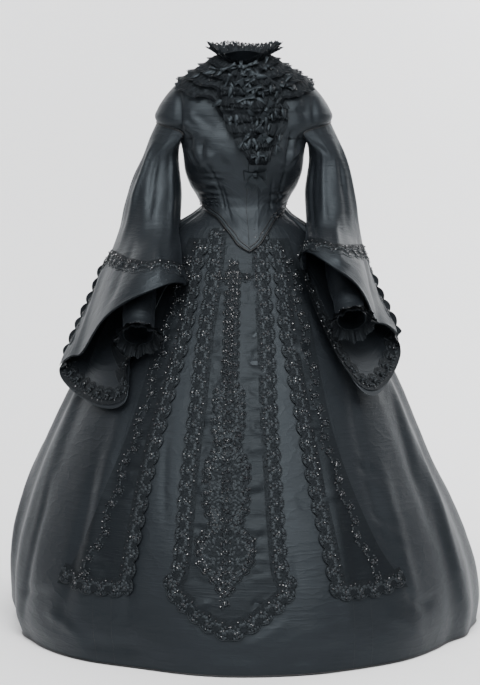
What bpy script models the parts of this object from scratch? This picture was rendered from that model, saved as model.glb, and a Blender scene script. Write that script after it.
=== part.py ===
"""A mourning dress of black silk, as it hangs on its wearer: a pointed bodice, a skirt over a wide hoop,
hanging sleeves with turned-back wings over fitted inner sleeves, and trimmings of black lace.

Sizes are in metres. The origin is the middle of the waist, +Z is up and the front faces -Y.
A form is a function from two parameters to the outer face of the cloth. Every piece is cut from a form:
its wall lies between two grids of points, the form's own and the same points moved in by the cloth.
The wearer's right is at -X. A turn is an angle round the body from the front, positive towards +X.
"""

import math

import bmesh
import bpy
import numpy as np

# Driving sizes
HEM = -1.05
SILK = 0.0016
LACE = 0.0012
SEAM = 0.0003
LIE_ON_BODICE = 0.0030

# Bodice
ARMPIT = 0.165
ARM_TOP = 0.207
NECK_EDGE = 0.372
ARMHOLE_SWING = math.radians(38)
BODICE_LINE = math.radians(4)
BUST_TURN = math.radians(38)
BUST_SPREAD = math.radians(17)
BUST_HEIGHT = 0.122
BUST_TALL = 0.045
BUST_OUT = 0.016
ARM_CREASE_AT = 0.160
ARM_CREASE_WIDE = 0.018
ARM_CREASE_DEEP = 0.008

# Skirt
SKIRT_LINE = math.radians(-2.3)
FRONT_SEAM = math.radians(29)
STRIP_SEAM = math.radians(33.8)
BACK_SEAM = math.radians(108)
PLEATS_FROM = math.radians(52)
PLEATS_FULL = math.radians(72)
PLEATS_ROUND = 21
SKIRT_GORES = {
    "skirt_back_right": (-math.pi, -BACK_SEAM, 18),
    "skirt_side_right": (-BACK_SEAM, -STRIP_SEAM, 18),
    "skirt_strip_right": (-STRIP_SEAM, -FRONT_SEAM, 2),
    "skirt_front": (-FRONT_SEAM, FRONT_SEAM, 15),
    "skirt_strip_left": (FRONT_SEAM, STRIP_SEAM, 2),
    "skirt_side_left": (STRIP_SEAM, BACK_SEAM, 18),
    "skirt_back_left": (BACK_SEAM, math.pi, 18),
}
SKIRT_ROWS = (HEM, -0.95, -0.80, -0.62, -0.43, -0.27, -0.15, -0.07, -0.025, 0.0)

# Trimmings
FRILL_TALL = 0.030
FRILL_LEAN = 0.018
FRILL_WAVES = 14
FRILL_WAVE_DEEP = 0.004
FRILL_CLEAR = 0.0010
BAND_TALL = 0.026
PIPING_RADIUS = 0.0016
PIPING_CLEAR = 0.0006
PIPING_REACH = 0.11
COLLAR_SCALLOPS = 15
COLLAR_ROWS = 7
SCALLOP_DEEP = 0.006
JABOT_TIERS = 4
JABOT_TIER_OUT = 0.010
JABOT_BASE = 0.0076
JABOT_TOP = 0.352
JABOT_TALL = 0.250
JABOT_STOPS = (0, 0.35, 0.75, 1)
JABOT_TURN = (0.37, 0.29, 0.25, 0.12)
JABOT_LEAN = (0.0, 0.035, 0.10, 0.13)

COLOURS = {
    "silk": ((0.022, 0.024, 0.028), 0.42),
    "lace": ((0.010, 0.010, 0.012), 0.75),
    "ribbon": ((0.030, 0.032, 0.037), 0.30),
    "piping": ((0.012, 0.013, 0.016), 0.35),
}


def table(columns, rows):
    """The rows as one array for each named column."""
    return dict(zip(columns.split(), np.array(rows, float).T, strict=True))


# Each row is one ring of the skirt: its height, its reach to each side, to the front and to the back.
SKIRT = table(
    "height right left front back",
    [
        (HEM, 0.572, 0.580, 0.570, 0.735),
        (-0.99, 0.590, 0.588, 0.565, 0.722),
        (-0.91, 0.590, 0.580, 0.545, 0.702),
        (-0.83, 0.580, 0.558, 0.517, 0.672),
        (-0.74, 0.555, 0.523, 0.482, 0.636),
        (-0.64, 0.520, 0.474, 0.438, 0.592),
        (-0.55, 0.480, 0.436, 0.396, 0.546),
        (-0.45, 0.430, 0.394, 0.347, 0.490),
        (-0.30, 0.335, 0.314, 0.268, 0.392),
        (-0.20, 0.276, 0.260, 0.210, 0.318),
        (-0.10, 0.218, 0.203, 0.152, 0.238),
        (-0.05, 0.174, 0.160, 0.120, 0.184),
        (-0.02, 0.127, 0.119, 0.1000, 0.121),
        (0.0, 0.1040, 0.1040, 0.0930, 0.0880),
    ],
)
PLEAT_DEPTH = table(
    "height deep",
    [(HEM, 0.006), (-0.60, 0.005), (-0.30, 0.007), (-0.07, 0.008), (-0.025, 0.004), (0.0, 0.0)],
)
# Soft swells of the cloth below the lowest hoop: how many round the hem, how deep, and where each starts.
HEM_SWELLS = table("count deep start", [(5, 0.007, 0.4), (8, 0.004, 2.1), (13, 0.002, 4.0)])

# Each row is one ring of the bodice. Above the arms a ring dips at the front and rises at the back.
BODICE = table(
    "level half front back front_height back_height squareness",
    [
        (-0.12, 0.243, 0.1730, 0.220, -0.12, -0.12, 2.0),
        (-0.10, 0.225, 0.1608, 0.205, -0.10, -0.10, 2.0),
        (-0.05, 0.178, 0.1290, 0.172, -0.05, -0.05, 2.0),
        (-0.02, 0.138, 0.1075, 0.125, -0.02, -0.02, 2.0),
        (0.0, 0.1085, 0.0980, 0.094, 0.0, 0.0, 2.0),
        (0.02, 0.1160, 0.0965, 0.091, 0.02, 0.02, 2.0),
        (0.05, 0.134, 0.102, 0.092, 0.05, 0.05, 2.1),
        (0.09, 0.1475, 0.114, 0.097, 0.09, 0.09, 2.2),
        (0.13, 0.1520, 0.125, 0.101, 0.13, 0.13, 2.3),
        (ARMPIT, 0.160, 0.122, 0.106, ARMPIT, ARMPIT, 2.4),
        (0.186, 0.187, 0.114, 0.108, 0.186, 0.186, 2.4),
        (ARM_TOP, 0.2170, 0.107, 0.108, ARM_TOP, ARM_TOP, 2.4),
        (0.222, 0.2220, 0.104, 0.108, 0.220, 0.224, 2.4),
        (0.24, 0.215, 0.102, 0.107, 0.236, 0.245, 2.4),
        (0.27, 0.196, 0.094, 0.104, 0.262, 0.279, 2.4),
        (0.30, 0.169, 0.084, 0.098, 0.286, 0.311, 2.3),
        (0.33, 0.127, 0.072, 0.086, 0.310, 0.342, 2.2),
        (0.355, 0.088, 0.061, 0.070, 0.332, 0.368, 2.1),
        (NECK_EDGE, 0.064, 0.054, 0.060, 0.347, 0.386, 2.0),
    ],
)
# The lower edge of the bodice by its turn from the point, in degrees: a blunt point, then up to the waist.
BODICE_HEM = table(
    "turn height",
    [(0, -0.104), (7, -0.086), (11, -0.069), (16, -0.053), (21, -0.040), (30, -0.024), (45, -0.013),
     (62, -0.004), (78, 0.004), (180, 0.004)],
)
# The lower edge of the lace collar by its turn from the front, in degrees: a blunt point in front.
COLLAR_EDGE = table(
    "turn level",
    [(0, 0.205), (11, 0.213), (16, 0.240), (22, 0.270), (30, 0.274), (42, 0.280), (58, 0.288), (75, 0.303),
     (90, 0.313), (130, 0.305), (180, 0.290)],
)
# The seam between side and back, by height: the turn in degrees.
SIDE_BACK_SEAM = table("height turn", [(-0.01, 150), (0.05, 152), (0.10, 146), (0.15, 137), (0.186, 130)])

# Each row is a ring of a sleeve through four points, (out, forward, height): outer, front, inner and back.
SLEEVE_RINGS = {
    "right": (
        ((0.255, 0.005, 0.120), (0.208, 0.062, 0.118), (0.162, 0.008, 0.115), (0.208, -0.056, 0.118)),
        ((0.2915, 0.012, 0.030), (0.224, 0.092, 0.030), (0.154, 0.022, 0.030), (0.224, -0.052, 0.030)),
        ((0.311, 0.020, -0.055), (0.233, 0.138, -0.050), (0.156, 0.055, -0.045), (0.236, -0.035, -0.060)),
        ((0.352, 0.050, -0.175), (0.252, 0.225, -0.135), (0.148, 0.140, -0.125), (0.268, 0.055, -0.235)),
        ((0.412, 0.150, -0.340), (0.264, 0.300, -0.212), (0.134, 0.210, -0.222), (0.292, 0.300, -0.478)),
    ),
    "left": (
        ((0.255, 0.005, 0.120), (0.210, 0.062, 0.118), (0.163, 0.008, 0.115), (0.208, -0.056, 0.118)),
        ((0.277, 0.012, 0.030), (0.218, 0.092, 0.030), (0.153, 0.022, 0.030), (0.216, -0.052, 0.030)),
        ((0.290, 0.020, -0.055), (0.226, 0.138, -0.045), (0.156, 0.060, -0.040), (0.230, -0.030, -0.060)),
        ((0.308, 0.070, -0.150), (0.238, 0.225, -0.099), (0.152, 0.130, -0.090), (0.256, 0.070, -0.210)),
        ((0.338, 0.200, -0.255), (0.244, 0.290, -0.154), (0.145, 0.190, -0.146), (0.304, 0.305, -0.448)),
    ),
}
SLEEVE_DOWN = (0.0, 0.17, 0.34, 0.50, 0.70, 1.0)
# Where a sleeve's mouth is pulled out of its ring: its long corner, and on one side a tuck under the wrist.
# Places around and widths are in degrees.
SLEEVE_PULLS = {
    "right": table(
        "around wide out forward height",
        [(-45, 30, 0.452, 0.105, -0.425), (28, 31, 0.390, 0.178, -0.352), (202, 24, 0.186, 0.178, -0.200),
         (234, 19, 0.264, 0.245, -0.365)],
    ),
    "left": table(
        "around wide out forward height",
        [(-45, 30, 0.384, 0.130, -0.345), (28, 32, 0.320, 0.218, -0.270)],
    ),
}
SLEEVE_OFF_SKIRT = 0.018
INNER_OFF_SKIRT = 0.025
WING_LIE = 0.0014
WING_LACE_LIE = 0.0025
WING_LACE_WAVE = 0.018
MOUTH_LACE_WAVE = 0.010
MOUTH_LACE_FROM = {"right": 16, "left": 13}
SLEEVE_STEP = math.radians(15)
ARMHOLE_STOPS = tuple(range(0, 361, 30))
ARMPIT_CLEAR = 0.0014
SLEEVE_CUTS = (0.002, 0.09, 0.17, 0.30, 0.42, 0.54, 0.68, 0.84, 1.0)
# How far down the sleeve the wing's upper edge lies, by its place around the sleeve in degrees.
WING_EDGE = table(
    "around down",
    [(-36, 0.97), (-20, 0.83), (0, 0.68), (20, 0.60), (45, 0.62), (90, 0.70), (135, 0.80), (184, 0.93)],
)
# Each row is a ring of an inner sleeve: its middle (out, forward, height) and its radius.
INNER_SLEEVE = {
    "right": table("out forward height radius", [
        (0.238, 0.040, -0.020, 0.038), (0.246, 0.086, -0.085, 0.040), (0.250, 0.158, -0.180, 0.040),
        (0.250, 0.226, -0.250, 0.039), (0.248, 0.278, -0.298, 0.037)]),
    "left": table("out forward height radius", [
        (0.230, 0.040, -0.020, 0.037), (0.236, 0.080, -0.075, 0.037), (0.240, 0.146, -0.155, 0.038),
        (0.254, 0.214, -0.218, 0.037), (0.262, 0.270, -0.262, 0.035)]),
}
WRIST_FRILL = 0.024
WRIST_WAVES = 9
INNER_TOP_CLEAR = 0.0009
INNER_AWAY = 0.005
INNER_FROM = 0.295

# Half the width of the front tab, and the inner and outer edges of a side tab, by height: metres sideways.
FRONT_TAB = table("height half", [
    (-0.965, 0.004), (-0.935, 0.060), (-0.885, 0.128), (-0.855, 0.146), (-0.83, 0.126), (-0.75, 0.117),
    (-0.62, 0.107), (-0.45, 0.092), (-0.30, 0.082), (-0.18, 0.068), (-0.05, 0.060)])
SIDE_TAB = table("height inner outer", [
    (-0.885, 0.242, 0.415), (-0.86, 0.238, 0.395), (-0.78, 0.222, 0.345), (-0.66, 0.196, 0.292),
    (-0.52, 0.166, 0.240), (-0.40, 0.138, 0.208), (-0.28, 0.112, 0.180), (-0.16, 0.097, 0.150),
    (-0.075, 0.078, 0.120)])
SCALLOP_TALL = 0.035
TAB_SCALLOP = 0.008
TAB_LIE = 0.0021


def slopes_of(at, known):
    """The slope of a smooth curve at each known point, flat where the points turn back."""
    shape = (-1,) + (1,) * (known.ndim - 1)
    rise = np.diff(known, axis=0) / np.diff(at).reshape(shape)
    slopes = np.concatenate([rise[:1], (rise[1:] + rise[:-1]) / 2, rise[-1:]])
    both = rise[1:] * rise[:-1]
    gentle = 2 * both / np.where(np.abs(rise[1:] + rise[:-1]) < 1e-12, 1, rise[1:] + rise[:-1])
    slopes[1:-1] = np.where(both > 0, gentle, 0)
    return slopes


def through(at, known, wanted):
    """A smooth curve through the known values, read at the wanted places: cubic between each two."""
    at = np.asarray(at, float)
    order = np.argsort(at)
    at, known = at[order], np.asarray(known, float)[order]
    slopes = slopes_of(at, known)
    wanted = np.clip(wanted, at[0], at[-1])
    i = np.clip(np.searchsorted(at, wanted) - 1, 0, len(at) - 2)
    step = at[i + 1] - at[i]
    t = (wanted - at[i]) / step

    def pick(values, index):
        if values.ndim == 1:
            return values[index]
        return np.take_along_axis(values, index[None], 0)[0]

    a, b, slope_a, slope_b = pick(known, i), pick(known, i + 1), pick(slopes, i), pick(slopes, i + 1)
    return (
        (2 * t**3 - 3 * t**2 + 1) * a
        + (t**3 - 2 * t**2 + t) * step * slope_a
        + (3 * t**2 - 2 * t**3) * b
        + (t**3 - t**2) * step * slope_b
    )


def ease(t):
    """From 0 to 1 with level ends."""
    t = np.clip(t, 0, 1)
    return t * t * (3 - 2 * t)


def bump(distance, wide):
    """A soft hill, 1 high in its middle."""
    return np.exp(-((distance / wide) ** 2))


def wrapped(turn):
    """The same turn, from half a round back to half a round forward."""
    return (turn + math.pi) % (2 * math.pi) - math.pi


def skirt_folds(turn, height):
    """How far the cloth stands out from the plain skirt: pleats at the sides and back, swells at the hem."""
    zone = ease((np.abs(wrapped(turn)) - PLEATS_FROM) / (PLEATS_FULL - PLEATS_FROM))
    deep = through(PLEAT_DEPTH["height"], PLEAT_DEPTH["deep"], height)
    fold = zone * deep * np.cos(PLEATS_ROUND * turn)
    low = ease((-0.62 - height) / 0.4)
    for count, swell, start in zip(*HEM_SWELLS.values(), strict=True):
        fold = fold + low * swell * np.sin(count * turn + start)
    return fold


def skirt(turn, height):
    """Rings of the skirt: half ellipses that meet at the sides, moved out by the folds."""
    turn, height = np.broadcast_arrays(np.asarray(turn, float), np.asarray(height, float))
    sizes = {name: through(SKIRT["height"], SKIRT[name], height) for name in ("right", "left", "front", "back")}
    side = np.where(np.sin(turn) < 0, sizes["right"], sizes["left"])
    depth = np.where(np.cos(turn) > 0, sizes["front"], sizes["back"])
    out_x, out_y = np.sin(turn) / side, -np.cos(turn) / depth
    size = np.hypot(out_x, out_y)
    fold = skirt_folds(turn, height)
    x = side * np.sin(turn) + fold * out_x / size
    y = -depth * np.cos(turn) + fold * out_y / size
    return np.stack([x, y, height], -1)


def bodice(turn, level):
    """Rings of the bodice: rounded rectangles that dip at the front, with two soft cups and the arm creases."""
    turn, level = np.broadcast_arrays(np.asarray(turn, float), np.asarray(level, float))
    size = {name: through(BODICE["level"], BODICE[name], level) for name in BODICE if name != "level"}
    sine, cosine = np.sin(turn), np.cos(turn)
    power = 2 / size["squareness"]
    across = np.sign(sine) * np.abs(sine) ** power
    along = np.sign(cosine) * np.abs(cosine) ** power
    depth = np.where(cosine > 0, size["front"], size["back"])
    x, y = size["half"] * across, -depth * along
    end = np.where(cosine > 0, size["front_height"], size["back_height"])
    height = level + (end - level) * cosine**2
    cups = sum(bump(wrapped(turn - BODICE_LINE - s * BUST_TURN), BUST_SPREAD) for s in (-1, 1))
    out = BUST_OUT * cups * bump(level - BUST_HEIGHT, BUST_TALL)
    upper = ease((level - ARMPIT + 0.01) / 0.03) * (1 - ease((level - 0.25) / 0.05))
    deep = ARM_CREASE_DEEP * (0.8 + 0.2 * cosine)
    out = out - deep * upper * bump(np.abs(x) - ARM_CREASE_AT, ARM_CREASE_WIDE)
    length = np.hypot(x, y)
    return np.stack([x + out * x / length, y + out * y / length, height], -1)


def armhole_reach(level):
    """How far the armhole swings from the side of the body at a level: an egg, narrower towards its top."""
    share = np.clip((level - ARMPIT) / (ARM_TOP - ARMPIT), 0, 1)
    return ARMHOLE_SWING * 2 * np.sqrt(share * (1 - share)) * (1 - 0.75 * share**2)


def armhole(around):
    """The edge where sleeve meets bodice on the +X side: 0 is its top, a quarter round is the front."""
    level = ARMPIT + (ARM_TOP - ARMPIT) * (1 + np.cos(around)) / 2
    return bodice(math.pi / 2 - np.sign(np.sin(around)) * armhole_reach(level), level)


def ring_through(points, around):
    """A closed curve through four points, a quarter round apart."""
    outer, front, inner, back = np.array([(out, -forward, height) for out, forward, height in points])
    turn = np.asarray(around)[..., None]
    middle = (outer + front + inner + back) / 4
    return (
        middle
        + np.cos(turn) * (outer - inner) / 2
        + np.sin(turn) * (front - back) / 2
        + np.cos(2 * turn) * (outer + inner - front - back) / 4
    )


def off_skirt(points, side, gap):
    """The points, with those nearer the skirt than the gap moved straight out to it."""
    sizes = {name: through(SKIRT["height"], SKIRT[name], np.minimum(points[..., 2], 0)) for name in SKIRT}
    wide = sizes[side] + gap
    deep = np.where(points[..., 1] < 0, sizes["front"], sizes["back"]) + gap
    share = np.hypot(points[..., 0] / wide, points[..., 1] / deep)
    need = ease(-points[..., 2] / 0.04)
    grow = 1 + need * np.maximum(1 / np.maximum(share, 0.2) - 1, 0)
    return points * np.stack([grow, grow, np.ones_like(grow)], -1)


def sleeve(side):
    """The form of one hanging sleeve, drawn on the +X side: rings from the armhole to the mouth."""

    def form(around, down):
        around, down = np.broadcast_arrays(np.asarray(around, float), np.asarray(down, float))
        start = armhole(around)
        start[..., 0] += ARMPIT_CLEAR * (1 - np.cos(around)) / 2
        rings = [start] + [ring_through(ring, around) for ring in SLEEVE_RINGS[side]]
        for place, wide, out, forward, height in zip(*SLEEVE_PULLS[side].values(), strict=True):
            place, wide = math.radians(place), math.radians(wide)
            pull = np.array([out, -forward, height]) - ring_through(SLEEVE_RINGS[side][-1], place)
            near = bump(wrapped(around - place), wide)[..., None]
            rings[-1] = rings[-1] + pull * near
            rings[-2] = rings[-2] + 0.25 * pull * near
        rings = np.array(rings)
        points = np.stack([through(SLEEVE_DOWN, rings[..., axis], down) for axis in range(3)], -1)
        return off_skirt(points, side, SLEEVE_OFF_SKIRT)

    return form


def inner_sleeve(side):
    """The form of one fitted inner sleeve: rings square to the forearm. Its top fills the outer sleeve."""
    rings = INNER_SLEEVE[side]
    middles = np.stack([rings["out"], -rings["forward"], rings["height"]], -1)
    steps = np.linspace(0, 1, len(middles))
    outer_sleeve = sleeve(side)

    def form(around, down):
        around, down = np.broadcast_arrays(np.asarray(around, float), np.asarray(down, float))
        place = np.stack([through(steps, middles[:, axis], down) for axis in range(3)], -1)
        ahead = np.stack([through(steps, middles[:, axis], down + 0.02) for axis in range(3)], -1)
        behind = np.stack([through(steps, middles[:, axis], down - 0.02) for axis in range(3)], -1)
        along = (ahead - behind) / np.linalg.norm(ahead - behind, axis=-1, keepdims=True)
        out = np.array([1.0, 0, 0]) - along * along[..., :1]
        out /= np.linalg.norm(out, axis=-1, keepdims=True)
        front = np.cross(along, out)
        radius = through(steps, rings["radius"], down)[..., None]
        turn = around[..., None]
        tube = place + radius * (np.cos(turn) * out + np.sin(turn) * front)
        clear = INNER_TOP_CLEAR + INNER_AWAY * (1 - np.cos(around)) / 2
        fixed = moved_out(outer_sleeve, around, np.full_like(around, INNER_FROM), -SILK - clear)
        share = np.clip(1 - down / 0.28, 0, 1.1)[..., None]
        return off_skirt(fixed * share + tube * (1 - share), side, INNER_OFF_SKIRT)

    return form


def faceted(form, across_stops, up_stops):
    """The form as flat triangles between stops, split the same way as in wall."""
    corners = form(across_stops[None], up_stops[:, None])

    def flat(across, up):
        across, up = np.broadcast_arrays(np.asarray(across, float), np.asarray(up, float))
        c = np.clip(np.searchsorted(across_stops, across) - 1, 0, len(across_stops) - 2)
        r = np.clip(np.searchsorted(up_stops, up) - 1, 0, len(up_stops) - 2)
        s = ((across - across_stops[c]) / (across_stops[c + 1] - across_stops[c]))[..., None]
        t = ((up - up_stops[r]) / (up_stops[r + 1] - up_stops[r]))[..., None]
        low, high = corners[r, c], corners[r + 1, c + 1]
        under = low + s * (corners[r, c + 1] - low) + t * (high - corners[r, c + 1])
        over = low + t * (corners[r + 1, c] - low) + s * (high - corners[r + 1, c])
        return np.where(s > t, under, over)

    return flat


def moved_out(form, across, up, distance):
    """The form's points, moved square to the cloth by a distance, outwards where it is above nothing."""
    across, up, distance = np.broadcast_arrays(*(np.asarray(v, float) for v in (across, up, distance)))
    step = 1e-4
    sideways = form(across + step, up) - form(across - step, up)
    rise = form(across, up + step) - form(across, up - step)
    square = np.cross(sideways, rise)
    square /= np.linalg.norm(square, axis=-1, keepdims=True)
    return form(across, up) + distance[..., None] * square


def material_named(name):
    """One Principled material for each kind of cloth, made once."""
    if name in bpy.data.materials:
        return bpy.data.materials[name]
    colour, roughness = COLOURS[name]
    made = bpy.data.materials.new(name)
    made.use_nodes = True
    shader = made.node_tree.nodes["Principled BSDF"]
    shader.inputs["Base Color"].default_value = (*colour, 1)
    shader.inputs["Roughness"].default_value = roughness
    shader.inputs["Metallic"].default_value = 0
    return made


def wall(name, outer, inner, cloth, closed=False):
    """A wall of cloth between two grids of points, rows by columns, with its rims. closed joins the last
    column to the first."""
    rows, columns = outer.shape[:2]
    mesh = bmesh.new()
    faces = []
    grids = [[[mesh.verts.new(point) for point in row] for row in grid] for grid in (outer, inner)]
    spans = columns if closed else columns - 1
    for grid in grids:
        for r in range(rows - 1):
            for c in range(spans):
                d = (c + 1) % columns
                faces.append((grid[r][c], grid[r][d], grid[r + 1][d]))
                faces.append((grid[r][c], grid[r + 1][d], grid[r + 1][c]))
    front, back = grids
    for r in (0, rows - 1):
        for c in range(spans):
            d = (c + 1) % columns
            faces.append((front[r][c], front[r][d], back[r][d], back[r][c]))
    if not closed:
        for c in (0, columns - 1):
            for r in range(rows - 1):
                faces.append((front[r][c], front[r + 1][c], back[r + 1][c], back[r][c]))
    for corners in faces:
        mesh.faces.new(corners)
    bmesh.ops.recalc_face_normals(mesh, faces=mesh.faces)
    data = bpy.data.meshes.new(name)
    mesh.to_mesh(data)
    mesh.free()
    data.shade_smooth()
    data.set_sharp_from_angle(angle=math.radians(50))
    data.materials.append(material_named(cloth))
    piece = bpy.data.objects.new(name, data)
    bpy.context.scene.collection.objects.link(piece)
    return piece


def piece_from(name, form, across, up, cloth="silk", thick=SILK, raised=0.0, mirrored=False, closed=False):
    """A wall cut from a form: its outer face is raised above the form, its inner face a thickness below."""
    outer = moved_out(form, across, up, raised)
    inner = moved_out(form, across, up, raised - thick)
    if mirrored:
        outer, inner = (grid * np.array([-1, 1, 1]) for grid in (outer, inner))
    return wall(name, outer, inner, cloth, closed)


def grid_between(first, last, count, rows):
    """Columns evenly between two edges, each given by row."""
    share = np.linspace(0, 1, count)[None]
    first, last = (np.broadcast_to(np.asarray(edge, float), (rows,))[:, None] for edge in (first, last))
    return first + (last - first) * share


def skirt_gores():
    """The skirt's gores, from seam to seam, with their pleats."""
    rows = np.array(SKIRT_ROWS)
    gap = SEAM / 2 / through(SKIRT["height"], SKIRT["front"], rows) + 1e-4
    for name, (first, last, columns) in SKIRT_GORES.items():
        turn = SKIRT_LINE + grid_between(first + gap, last - gap, columns, len(rows))
        piece_from(name, skirt, turn, rows[:, None])


def gored_skirt():
    """The skirt as its gores are really cut: flat facets between their rows and columns."""
    columns = [np.linspace(first, last, count)[1:] for first, last, count in SKIRT_GORES.values()]
    turns = SKIRT_LINE + np.concatenate([[-math.pi], *columns])
    return faceted(skirt, turns, np.array(SKIRT_ROWS))


def waistband():
    """The band inside the bodice that the skirt hangs from."""
    turn = np.linspace(-math.pi, math.pi, 33)[:-1][None]
    height = np.array([[SEAM], [BAND_TALL]])
    ring = skirt(turn, 0.0)
    outer = np.broadcast_to(ring, (2, *ring.shape[1:])).copy()
    outer[..., 2] = height
    inner = outer * np.array([1 - SILK / SKIRT["left"][-1]] * 2 + [1])
    wall("waistband", outer, inner, "silk", closed=True)


def bodice_hem(turn):
    """Height of the bodice's lower edge at a turn."""
    return through(BODICE_HEM["turn"], BODICE_HEM["height"], np.degrees(np.abs(wrapped(turn - BODICE_LINE))))


def bodice_levels(turn, lowest_rows=6):
    """Rows of a bodice piece at each column: from its lower edge past the armhole to the neck."""
    low = bodice_hem(turn)
    share = np.linspace(0, 1, lowest_rows)[:, None]
    rows = [low + (ARMPIT - low) * share]
    passed = (1 - np.cos(np.radians(np.arange(30, 181, 30)))) / 2
    high = np.concatenate([ARMPIT + (ARM_TOP - ARMPIT) * passed, [0.24, 0.27, 0.30, 0.33, 0.355, NECK_EDGE]])
    return np.concatenate([rows[0], np.broadcast_to(high[:, None], (len(high), len(low)))])


def bodice_fronts():
    """The two fronts: from the middle to the side seam, then round the armhole, then along the shoulder."""
    gap = SEAM / 2 / BODICE["front"][3] + 1e-4
    for name, sign in (("bodice_front_left", 1), ("bodice_front_right", -1)):
        share = np.linspace(0, 1, 10)
        levels = bodice_levels(BODICE_LINE + sign * share * (math.pi / 2 - sign * BODICE_LINE))
        edge = math.pi / 2 - armhole_reach(levels[:, -1:]) - gap
        turn = (BODICE_LINE + sign * gap) * (1 - share) + sign * edge * share
        piece_from(name, bodice, turn, levels)


def bodice_sides():
    """The two side bodies: from the side seam to the curved seam of the back, up to the armhole."""
    gap = SEAM / BODICE["back"][3]
    for name, sign in (("bodice_side_left", 1), ("bodice_side_right", -1)):
        low = BODICE_HEM["height"][-1]
        top = ARMPIT + (ARM_TOP - ARMPIT) * 0.5
        levels = np.concatenate([np.linspace(low, ARMPIT, 6), [ARMPIT + (ARM_TOP - ARMPIT) * 0.067],
                                 [ARMPIT + (ARM_TOP - ARMPIT) * 0.25], [top]])[:, None]
        first = math.pi / 2 + armhole_reach(levels) + gap
        last = np.radians(through(SIDE_BACK_SEAM["height"], SIDE_BACK_SEAM["turn"], levels)) - gap
        turn = first + (last - first) * np.linspace(0, 1, 5)[None]
        piece_from(name, bodice, sign * turn, levels)


def bodice_back():
    """The back, whole across the middle: between the curved seams, the armholes and the shoulders."""
    gap = SEAM / BODICE["back"][3]
    levels = bodice_levels(np.array([math.pi]))
    seam = np.radians(through(SIDE_BACK_SEAM["height"], SIDE_BACK_SEAM["turn"], levels)) + gap
    reach = math.pi / 2 + armhole_reach(levels) + gap
    first = np.where(levels < ARMPIT + (ARM_TOP - ARMPIT) * 0.55, np.maximum(seam, reach), reach)
    turn = first + (2 * math.pi - 2 * first) * np.linspace(0, 1, 15)[None]
    piece_from("bodice_back", bodice, turn, levels)


def round_cord(name, line, radius, cloth):
    """A closed round cord along a line of points."""
    curve = bpy.data.curves.new(name, "CURVE")
    curve.dimensions = "3D"
    curve.bevel_depth = radius
    curve.bevel_resolution = 1
    spline = curve.splines.new("POLY")
    spline.points.add(len(line) - 1)
    for point, place in zip(spline.points, line, strict=True):
        point.co = (*place, 1)
    spline.use_cyclic_u = True
    curve.materials.append(material_named(cloth))
    piece = bpy.data.objects.new(name, curve)
    bpy.context.scene.collection.objects.link(piece)
    return piece


def bodice_piping():
    """The cord in the bodice's lower edge, as far below it as its own slope needs."""
    turn = BODICE_LINE + np.concatenate(
        [np.linspace(-math.pi / 2 - BODICE_LINE, 0, 10)[:-1], np.linspace(0, math.pi / 2 - BODICE_LINE, 10),
         np.radians(np.arange(99, 262, 12)) - BODICE_LINE]
    )
    low = bodice_hem(turn)
    step = 0.02
    slope = (bodice_hem(turn + step) - bodice_hem(turn - step)) / (2 * step * PIPING_REACH)
    below = (PIPING_RADIUS + PIPING_CLEAR) * np.hypot(1, slope)
    round_cord("bodice_piping", bodice(turn, low - below), PIPING_RADIUS, "piping")


def sleeves():
    """Each hanging sleeve's two halves. The top row runs straight between the corners of the bodice's edge."""
    down = np.array(SLEEVE_CUTS)[:, None]
    stops = np.radians(ARMHOLE_STOPS)
    for side, mirrored in (("left", False), ("right", True)):
        form = sleeve(side)
        for half, first in (("front", 0), ("back", math.pi)):
            around = first + np.arange(13)[None] * SLEEVE_STEP
            around[0, [0, -1]] += (0.002, -0.002)
            grids = [moved_out(form, around, down, out) for out in (0.0, -SILK)]
            for grid, out in zip(grids, (0.0, -SILK), strict=True):
                corners = form(stops, down[0]) + moved_out(form, stops, 0.04, out) - form(stops, 0.04)
                grid[0] = np.stack([np.interp(around[0], stops, corners[:, k]) for k in range(3)], -1)
            if mirrored:
                grids = [grid * np.array([-1, 1, 1]) for grid in grids]
            wall(f"sleeve_{half}_{side}", *grids, "silk")


def cut_sleeve(side):
    """The sleeve as its halves are really cut: flat facets between their rows and columns."""
    return faceted(sleeve(side), np.arange(-4, 25) * SLEEVE_STEP, np.array(SLEEVE_CUTS))


def wing_edge(around):
    """How far down the sleeve the wing's upper edge lies."""
    return through(WING_EDGE["around"], WING_EDGE["down"], np.degrees(around))


def sleeve_wings():
    """The wing turned back over each sleeve, and the scalloped lace on its upper edge."""
    for side, mirrored in (("left", False), ("right", True)):
        form = cut_sleeve(side)
        around = (np.arange(-2, 13) * SLEEVE_STEP)[None]
        top = wing_edge(around)
        down = top + (0.997 - top) * np.linspace(0, 1, 5)[:, None]
        piece_from(f"sleeve_wing_{side}", form, around, down, raised=WING_LIE + SILK, mirrored=mirrored)
        lace_round = (np.arange(-4, 25) * SLEEVE_STEP / 2)[None]
        middle = wing_edge(lace_round)
        wave = WING_LACE_WAVE * (np.arange(29) % 2)[None]
        down = np.concatenate([middle - 0.015 - wave, np.minimum(middle + 0.035, 0.996)])
        piece_from(f"wing_lace_{side}", form, lace_round, down, "lace", LACE,
                   raised=WING_LIE + WING_LACE_LIE + SILK + LACE, mirrored=mirrored)


def mouth_laces():
    """Scalloped lace inside the long back edge of each sleeve's mouth, seen from the front."""
    for side, mirrored in (("left", False), ("right", True)):
        form = cut_sleeve(side)
        around = (np.arange(MOUTH_LACE_FROM[side], 22, 0.5) * SLEEVE_STEP)[None]
        wave = MOUTH_LACE_WAVE * (np.arange(around.size) % 2)[None]
        down = np.concatenate([0.915 - 0.4 * wave, 0.985 + wave])
        piece_from(f"mouth_lace_{side}", form, around, down, "lace", LACE, raised=-SILK - WING_LIE,
                   mirrored=mirrored)


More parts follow.
